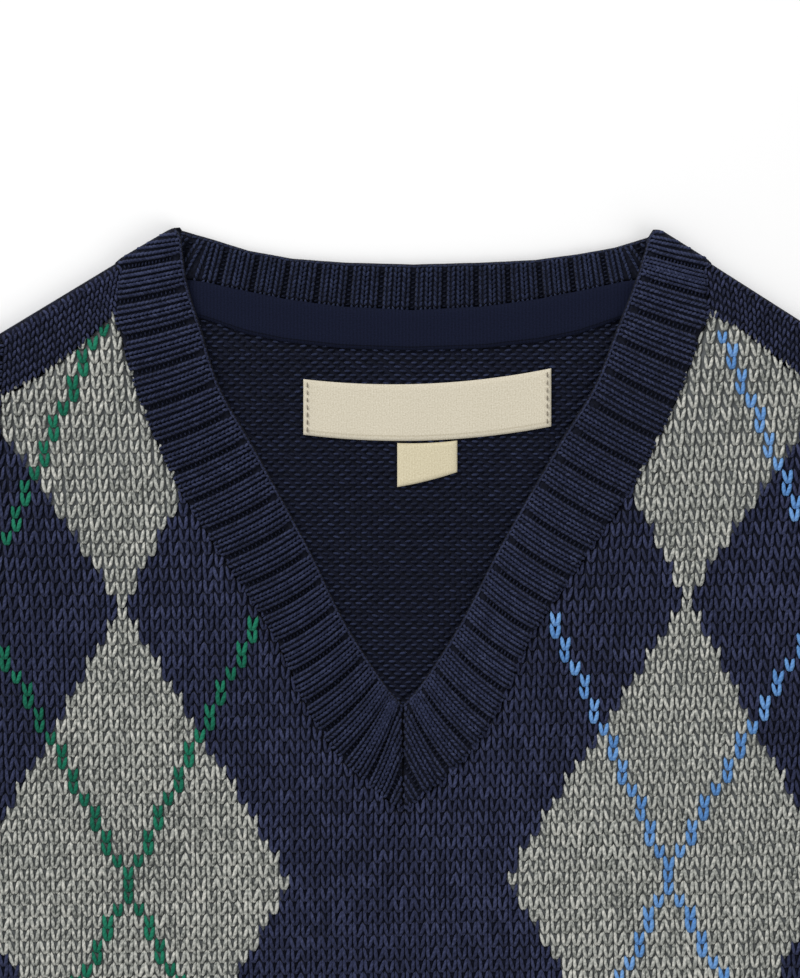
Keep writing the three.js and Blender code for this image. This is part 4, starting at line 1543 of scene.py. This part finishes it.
def rib_pieces(name, legs, bumps, material, seed, leg=rib_leg):
    """The two pieces of a band's loops: the legs on its ribs and the bumps in its grooves."""
    return [
        set_loops(name, legs, leg, material, turn=4, tone=0.16, seed=seed),
        set_loops(name + "_grooves", bumps, groove_bump, material, turn=8, tone=0.1, seed=seed + 10),
    ]


# %% Loops on the front neckband
FOLD_LEG_LIFT = 1.9
FOLD_BUMP_LIFT = 1.0
MITRE_GAP = 0.6
CHAIN_NEAR = 0.4


def neck_loops(side, name, seed):
    """The loops on one half of the front neckband."""

    def on_rib(number, across):
        return on_neck_rib(side, number, across)

    def on_band(along, across):
        return front_band(side, along, across)

    def on_cloth(places, lift):
        """Leaves out the places low on the shoulder fold and beyond the mitre at the tip."""
        x, y, z = places.points.T
        above_fold = (y < RISE_TO_Y) | (z > SHOULDER_LIFT + lift)
        return places.where(above_fold & ((x - lean(y)) * side > MITRE_GAP))

    last = int(NECK_GROOVES[-1][0])
    cut_lines = RIB_LINES[RIB_LINES < NECK_GROOVES[-1][0] - last - 0.05]
    ribs = rib_places(on_rib, NECK_BAND_WIDTH, np.arange(NECK_GROOVES[0][0], last))
    cut_rib = rib_places(on_rib, NECK_BAND_WIDTH, np.array([last]), lines=cut_lines)
    rim = np.arange(-2, neck_seam[side].length - 1, CHAIN_STEP)
    chain = chain_places(on_band, NECK_BAND_WIDTH, rim, CHAIN_NEAR)
    legs = joined([on_cloth(joined([ribs, cut_rib]), FOLD_LEG_LIFT), chain])
    bumps = groove_places(on_rib, NECK_BAND_WIDTH, np.arange(NECK_GROOVES[1][0], last + 1))
    return rib_pieces(name, legs, on_cloth(bumps, FOLD_BUMP_LIFT), band_yarn, seed)


neck_left_loops = neck_loops(-1, "neckband_left_ribs", 31)
neck_right_loops = neck_loops(1, "neckband_right_ribs", 32)


# %% Loops on the back neckband
def on_back_rib(number, across):
    """A point of the back neckband by the number of its rib."""
    return back_band(((number - 0.5) / BACK_NECK_RIBS - 0.5) * 2 * BACK_BAND_HALF, across)


ribs = rib_places(on_back_rib, BACK_BAND_WIDTH, np.arange(0, BACK_NECK_RIBS + 1), ends=(0.04, 0.86))
rim = np.arange(-BACK_BAND_HALF, BACK_BAND_HALF, CHAIN_STEP)
chain = chain_places(back_band, BACK_BAND_WIDTH, rim, CHAIN_NEAR, across=0.93)
bumps = groove_places(on_back_rib, BACK_BAND_WIDTH, np.arange(1, BACK_NECK_RIBS + 1))
# Its loops take the darkened yarn: painted shade under the front neckbands.
neck_back_loops = rib_pieces("neckband_back_ribs", joined([ribs, chain]), bumps, painted_shade_yarn, 33)

# %% Loops on the armhole bands
ARM_COURSE = 1.8
SHARE_NEAR = 0.002


def arm_loops(side, name, seed):
    """The loops on the upper run of an armhole band."""

    def on_rib(number, across):
        return arm_band(side, (number - 0.5) / ARM_RIBS, across)

    def on_band(along, across):
        return arm_band(side, along, across)

    ribs = whole_and_half_ribs(on_rib, ARM_BAND_WIDTH, ARM_RIBS, course=ARM_COURSE)
    rim = np.arange(0.01, 0.99, CHAIN_STEP / armhole[side].length)
    chain = chain_places(on_band, ARM_BAND_WIDTH, rim, SHARE_NEAR)
    bumps = groove_places(on_rib, ARM_BAND_WIDTH, np.arange(1, ARM_RIBS + 1))
    return rib_pieces(name, joined([*ribs, chain]), bumps, band_yarn, seed)


arm_left_loops = arm_loops(-1, "armhole_band_left_ribs", 34)
arm_right_loops = arm_loops(1, "armhole_band_right_ribs", 35)

# %% Loops on the hem
HEM_COURSE = 2.6
HEM_RIM_HALF = 166


def on_hem_rib(number, across):
    """A point of the front hem by the number of its rib."""
    return hem_surface(2 * (number - 0.5) / HEM_RIBS - 1, across)


setting = {"ends": (0.02, 0.92), "course": HEM_COURSE}
ribs = joined(whole_and_half_ribs(on_hem_rib, HEM_RIB_DEPTH, HEM_RIBS, **setting))
rim = np.arange(-0.98, 0.98, CHAIN_STEP / HEM_RIM_HALF)
chain = chain_places(hem_surface, HEM_RIB_DEPTH, rim, SHARE_NEAR, across=0.97)
grooves = np.arange(1, HEM_RIBS + 1)
bumps = groove_places(on_hem_rib, HEM_RIB_DEPTH, grooves, ends=(0.04, 0.9), course=HEM_COURSE)
hem_loops = rib_pieces("hem_ribs", joined([ribs, chain]), bumps, band_yarn, 36, leg=strip_leg)

# %% [markdown]
# Over each shoulder the back comes forward as a narrow strip. Its columns of loops run from
# the fold straight to the seam, closer together than on the front.

# %% Shoulder strips
STRIP_LINE = 1.65
STRIP_COURSE = 2.2
STRIP_LENGTH = 42.0
STRIP_SHARES = (-0.008, 0.99)
STRIP_ENDS = (-2.4, 0.985)
STRIP_LEAN = 20
STRIP_REACH = 3.0
STRIP_TURN = 8


def forward_sag(side, share):
    """How far the forward seam departs from a straight line."""
    first, last = FORWARD_SEAM[0], FORWARD_SEAM[-1]
    column = column_of(side)
    height = read(FORWARD_SEAM, mix(first[0], last[0], share), column)
    return height - mix(first[column], last[column], share)


def strip_surface(side, share, down):
    """A point of a shoulder strip: a share from neck to armhole, and from fold to seam."""
    forward = (ARMHOLE[0][1] - FORWARD_SEAM[-1][column_of(side)]) / armhole[side].length
    way = SHOULDER_WAY * np.array([side, 1])
    on_top = np.clip(down, 0, 1)
    neck = neck_seam[side].beside(NECK_SEAM_START * on_top, side, SEAM_GAP)
    arm = armhole[side].at(forward * on_top)
    xy = mix(neck, arm, share[..., None])
    xy[..., 1] += on_top * forward_sag(side, share)
    sine = np.clip(-down * STRIP_TURN / STRIP_REACH, 0, 1)
    xy = xy + sine[..., None] * STRIP_REACH * way
    floor = front_floor(xy[..., 0], xy[..., 1])
    top = floor + BODY_WALL * SHELL_SHARE
    z = mix(top, top / 2, 1 - np.sqrt(1 - sine**2))
    return np.concatenate([xy, z[..., None]], -1)


def strip_loops(side, name, seed):
    """The leaning legs of one shoulder strip."""

    def surface(share, down):
        return strip_surface(side, share, down)

    fold, seam = surface(np.array([0.5, 0.5]), np.array([0.0, 1.0]))
    width = np.linalg.norm(seam - fold)
    lines = np.arange(*STRIP_SHARES, STRIP_LINE / STRIP_LENGTH)
    courses = np.linspace(STRIP_ENDS[0] / width, STRIP_ENDS[1], int(width / STRIP_COURSE) + 1)
    odd, down = np.meshgrid(np.arange(len(lines)), courses)
    odd, down = odd.ravel(), down.ravel()
    share = lines[odd]
    way, aside, up = directions(surface, share, down, 0.01, 0.03)
    turn = np.radians(np.where(odd % 2, STRIP_LEAN, -STRIP_LEAN))[:, None]
    places = Places(surface(share, down), way * np.cos(turn) + aside * np.sin(turn), up, 1.0, 0.45)
    return set_loops(name, places, strip_leg, navy_yarn, turn=7, tone=0.16, seed=seed)


strip_left = strip_loops(-1, "shoulder_left_knit", 41)
strip_right = strip_loops(1, "shoulder_right_knit", 42)

# %% [markdown]
# Woven trim: a tape covers the back neck seam, and a label and a small size tab are sewn
# below it. They are thin strips, cut from woven ribbon and folded under at their ends. Each
# point of a strip knows its place in the ribbon, in mm along and across, so that the
# threads follow the strip round its bow.

# %% Woven strips
TRIM_TOP = FRONT_LIFT + TRIM_WALL * 0.8
SAG = 0.5


def strip_piece(name, top, foot, lift, columns=60, rows=12, round_off=0.35):
    """A thin strip between a top line and a foot line, each a function of a share."""
    share, across = np.meshgrid(np.linspace(0, 1, columns), np.linspace(0, 1, rows))
    xy = mix(foot(share), top(share), across[..., None])
    height = lift(share, across)
    to_end = np.minimum(share, 1 - share) * columns / 2
    to_edge = np.minimum(across, 1 - across) * rows / 2
    rounded = round_off * (1 - smooth(np.minimum(to_end, to_edge)))
    outer = np.concatenate([xy, (TRIM_TOP + height - rounded)[..., None]], -1)
    inner = np.concatenate([xy, (FRONT_LIFT + height * SAG)[..., None]], -1)
    length = np.linalg.norm(xy[0, -1] - xy[0, 0])
    width = np.linalg.norm(xy[-1, columns // 2] - xy[0, columns // 2])
    place = np.stack([share * length, across * width, np.zeros(share.shape)], -1)
    return wall(name, outer, inner, place=place)


# %% Woven ribbon material
RIBBON = {"Roughness": 0.8, "IOR": 1.5, "Specular IOR Level": 0.06}
RIBBON |= {"Sheen Weight": 0.02, "Sheen Roughness": 0.5}
SLUB_SCALE = 2.2
LINE_HALF_WIDTH = 0.22


def woven(name, dark, light, warp, weft, depth, line, line_strength):
    """Woven ribbon: warp threads across the strip, weft along it, and one darker line along it."""
    material, tree = new_material(name)
    place = add(tree, "ShaderNodeAttribute", {"attribute_name": "place"}).outputs["Vector"]
    split = add(tree, "ShaderNodeSeparateXYZ", {}, {0: place}).outputs
    warps = add(tree, "ShaderNodeMath", {"operation": "PINGPONG", 1: warp / 2}, {0: split["X"]})
    wefts = add(tree, "ShaderNodeMath", {"operation": "PINGPONG", 1: weft / 2}, {0: split["Y"]})
    both = add(tree, "ShaderNodeMath", {"operation": "ADD"}, {0: warps, 1: wefts})
    threads = add(tree, "ShaderNodeMapRange", {"From Max": (warp + weft) / 2}, {"Value": both})
    slubs = {"Scale": SLUB_SCALE, "Detail": 3.0, "Roughness": 0.6}
    slub = add(tree, "ShaderNodeTexNoise", slubs, {"Vector": place}).outputs["Fac"]
    level = add(tree, "ShaderNodeMath", {"operation": "MULTIPLY_ADD", 1: 0.3}, {0: threads, 2: slub})
    near = {"operation": "COMPARE", 1: line, 2: LINE_HALF_WIDTH}
    on_line = add(tree, "ShaderNodeMath", near, {0: split["Y"]})
    darker = {"operation": "MULTIPLY_ADD", 1: -line_strength}
    lined = add(tree, "ShaderNodeMath", darker, {0: on_line, 2: level})
    ramp = two_tones(tree, lined, dark, light)
    ramp.color_ramp.elements[0].position = 0.2
    ramp.color_ramp.elements[1].position = 0.9
    cloth_finish(tree, ramp, lined, 0.6, depth, RIBBON)
    return material


tape_cloth = woven("navy herringbone tape", "080b17", "151a2f", 1.1, 0.5, 0.2, 1.0, 0.35)
label_cloth = woven("cream satin label ribbon", "a89e86", "dcd5c3", 0.5, 0.35, 0.08, 1.5, 0.16)
tab_cloth = woven("cream satin size ribbon", "a89c7c", "ddd4b8", 0.5, 0.35, 0.08, 11.6, 0.16)


# %% Tape, label and size tab
TAPE_REST, TAPE_RIPPLE = 0.15, 0.12
LABEL_REST, LABEL_RIPPLE, LABEL_FOLD = 0.3, 0.22, 0.3
TAB_REST, TAB_STAND = 0.2, 0.3


def tape_line(table, drop):
    """An edge of the neck tape as a function of the share from left to right."""
    reach = TAPE_EDGE[-1][0]

    def line(share):
        half = np.abs(mix(-reach, reach, share))
        top_y = read(BACK_SEAM, half) - 2 * SEAM_GAP
        return np.stack([mix(-reach, reach, share) + lean(top_y), read(table, half) - drop], -1)

    return line


def tape_lift(share, across):
    """The tape lies flat, with a faint ripple."""
    return TAPE_REST + TAPE_RIPPLE * np.sin(share * 19) * np.sin(across * 3)


edges = tape_line(BACK_SEAM, -SEAM_GAP), tape_line(TAPE_EDGE, 0)
tape = strip_piece("neck_tape_cloth", *edges, tape_lift, columns=140)
tape.data.materials.append(tape_cloth)


def label_lift(share, across):
    """The label lies almost flat, with folded ends and a slow ripple along its foot."""
    ends = LABEL_FOLD * np.exp(-((np.minimum(share, 1 - share) * 26) ** 2))
    return ends + LABEL_RIPPLE * np.sin(share * 11 + 0.6) ** 2 * (1 - across) + LABEL_REST


def tab_lift(share, across):
    """The tab's foot stands up a little, and its top lies under the label."""
    return TAB_REST + TAB_STAND * (1 - across) * (0.5 + 0.5 * np.sin(share * 5))


edges = patch_line(LABEL, "tops"), patch_line(LABEL, "feet")
label = strip_piece("label_cloth_piece", *edges, label_lift, columns=120, rows=26)
label.data.materials.append(label_cloth)
edges = patch_line(TAB, "tops"), patch_line(TAB, "feet")
tab = strip_piece("size_tab_cloth", *edges, tab_lift, columns=30, rows=24)
tab.data.materials.append(tab_cloth)

# %% [markdown]
# A row of small machine stitches holds each end of the label. The tab's own stitches lie
# hidden under the label's foot. Each stitch is a short thread that dips into the cloth at
# both ends.

# %% Stitches on the label
STITCH_STEP = 2.3
STITCH_INSET = 1.25
STITCH_SINK = 0.08


def stitch_places(share, count):
    """Stitches down the label at a share of its length."""
    across = np.linspace(0.1, 0.9, count)
    shares = np.full(count, share)
    foot, top = patch_line(LABEL, "feet")(shares), patch_line(LABEL, "tops")(shares)
    xy = mix(foot, top, across[:, None])
    z = TRIM_TOP + label_lift(shares, across) - STITCH_SINK
    way = np.concatenate([unit(top - foot), np.zeros((count, 1))], -1)
    return Places(np.concatenate([xy, z[:, None]], -1), way, np.tile([0.0, 0.0, 1.0], (count, 1)))


stitch = loop_object("stitch", [single_leg(1.7, 0.24, 0.2)])
inset = STITCH_INSET / (LABEL["right"] - LABEL["left"])
per_end = int((LABEL["tops"][0] - LABEL["feet"][0]) / STITCH_STEP)
stitches = joined([stitch_places(inset, per_end), stitch_places(1 - inset, per_end)])
thread_yarn = yarn("brown-grey sewing thread", "5d5448", "8d8374", "b3aa9a")
label_stitches = set_loops("label_stitches", stitches, stitch, thread_yarn, turn=5, size=0.1, seed=51)

# %% Removing the patterns
for pattern in (v_loop, mark_loop, rib_leg, strip_leg, groove_bump, purl_bump, stitch):
    bpy.data.objects.remove(pattern)

# %% [markdown]
# Each piece and its loops now ride on the body, and the imported node that the piece
# replaces is hidden.

# %% Riding on the body
pieces = [
    # shell, node, slot, flat size, flat area, loops on it
    (front_shell, "front_panel", "body_knit", (0.340, 0.355), 0.0896, front_pieces),
    (back_shell, "back_panel", "body_knit", (0.340, 0.387), 0.110, [back_purl, strip_left, strip_right]),
    (neckband_left, "neckband_front_left", "rib_knit", (0.201, 0.026), 0.0047, neck_left_loops),
    (neckband_right, "neckband_front_right", "rib_knit", (0.201, 0.026), 0.0047, neck_right_loops),
    (neckband_back, "neckband_back", "rib_knit", (0.178, 0.0155), 0.0026, neck_back_loops),
    (arm_left, "armhole_band_left", "rib_knit", (0.40, 0.017), 0.0068, arm_left_loops),
    (arm_right, "armhole_band_right", "rib_knit", (0.40, 0.017), 0.0068, arm_right_loops),
    (hem_front, "hem_rib_front", "rib_knit", (0.340, 0.048), 0.0161, hem_loops),
    (hem_back, "hem_rib_back", "rib_knit", (0.340, 0.048), 0.0161, []),
    (tape, "neck_tape", "neck_tape", (0.170, 0.012), 0.0020, []),
    (label, "label", "label_cloth", (0.078, 0.0178), 0.00136, [label_stitches]),
    (tab, "size_tab", "tab_cloth", (0.019, 0.013), 0.00022, []),
]
for shell, node, slot, flat, area, loops in pieces:
    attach(shell, BODY)
    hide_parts(node)
    for piece in loops:
        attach(piece, BODY)
    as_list(loops)
print(sum(1 + len(loops) for *_, loops in pieces), "pieces told to the frame")

# %% [markdown]
# The vest lies on a plain white table under broad soft light. One large lamp from the upper
# left models the loops and ribs, and the white surroundings fill the shadows.

# %% Table and light
FLOOR_SIZE = 6000.0
bpy.ops.mesh.primitive_plane_add(size=FLOOR_SIZE * MM, location=(0, 0, -0.0006))
floor = bpy.context.object
floor.name = "table"
floor_material = bpy.data.materials.new("white table top")
floor_material.use_nodes = True
floor_skin = floor_material.node_tree.nodes["Principled BSDF"]
floor_skin.inputs["Base Color"].default_value = linear("f6f6f6")
floor_skin.inputs["Roughness"].default_value = 0.9
floor.data.materials.append(floor_material)

LAMPS = [
    # name, place in metres, size in metres, power in watts
    ("upper left lamp", (-0.9, 1.3, 1.1), 0.9, 27),
    ("lower right lamp", (1.2, -0.8, 1.4), 1.6, 10),
]
for name, place, size, power in LAMPS:
    light = bpy.data.lights.new(name, "AREA")
    light.size = size
    light.energy = power
    lamp = bpy.data.objects.new(name, light)
    lamp.location = place
    lamp.rotation_euler = (-lamp.location).to_track_quat("-Z", "Y").to_euler()
    bpy.context.collection.objects.link(lamp)

world = bpy.data.worlds.new("white studio")
world.use_nodes = True
world.node_tree.nodes["Background"].inputs["Color"].default_value = (1, 1, 1, 1)
world.node_tree.nodes["Background"].inputs["Strength"].default_value = 0.5
bpy.context.scene.world = world
bpy.context.scene.view_settings.view_transform = "Standard"
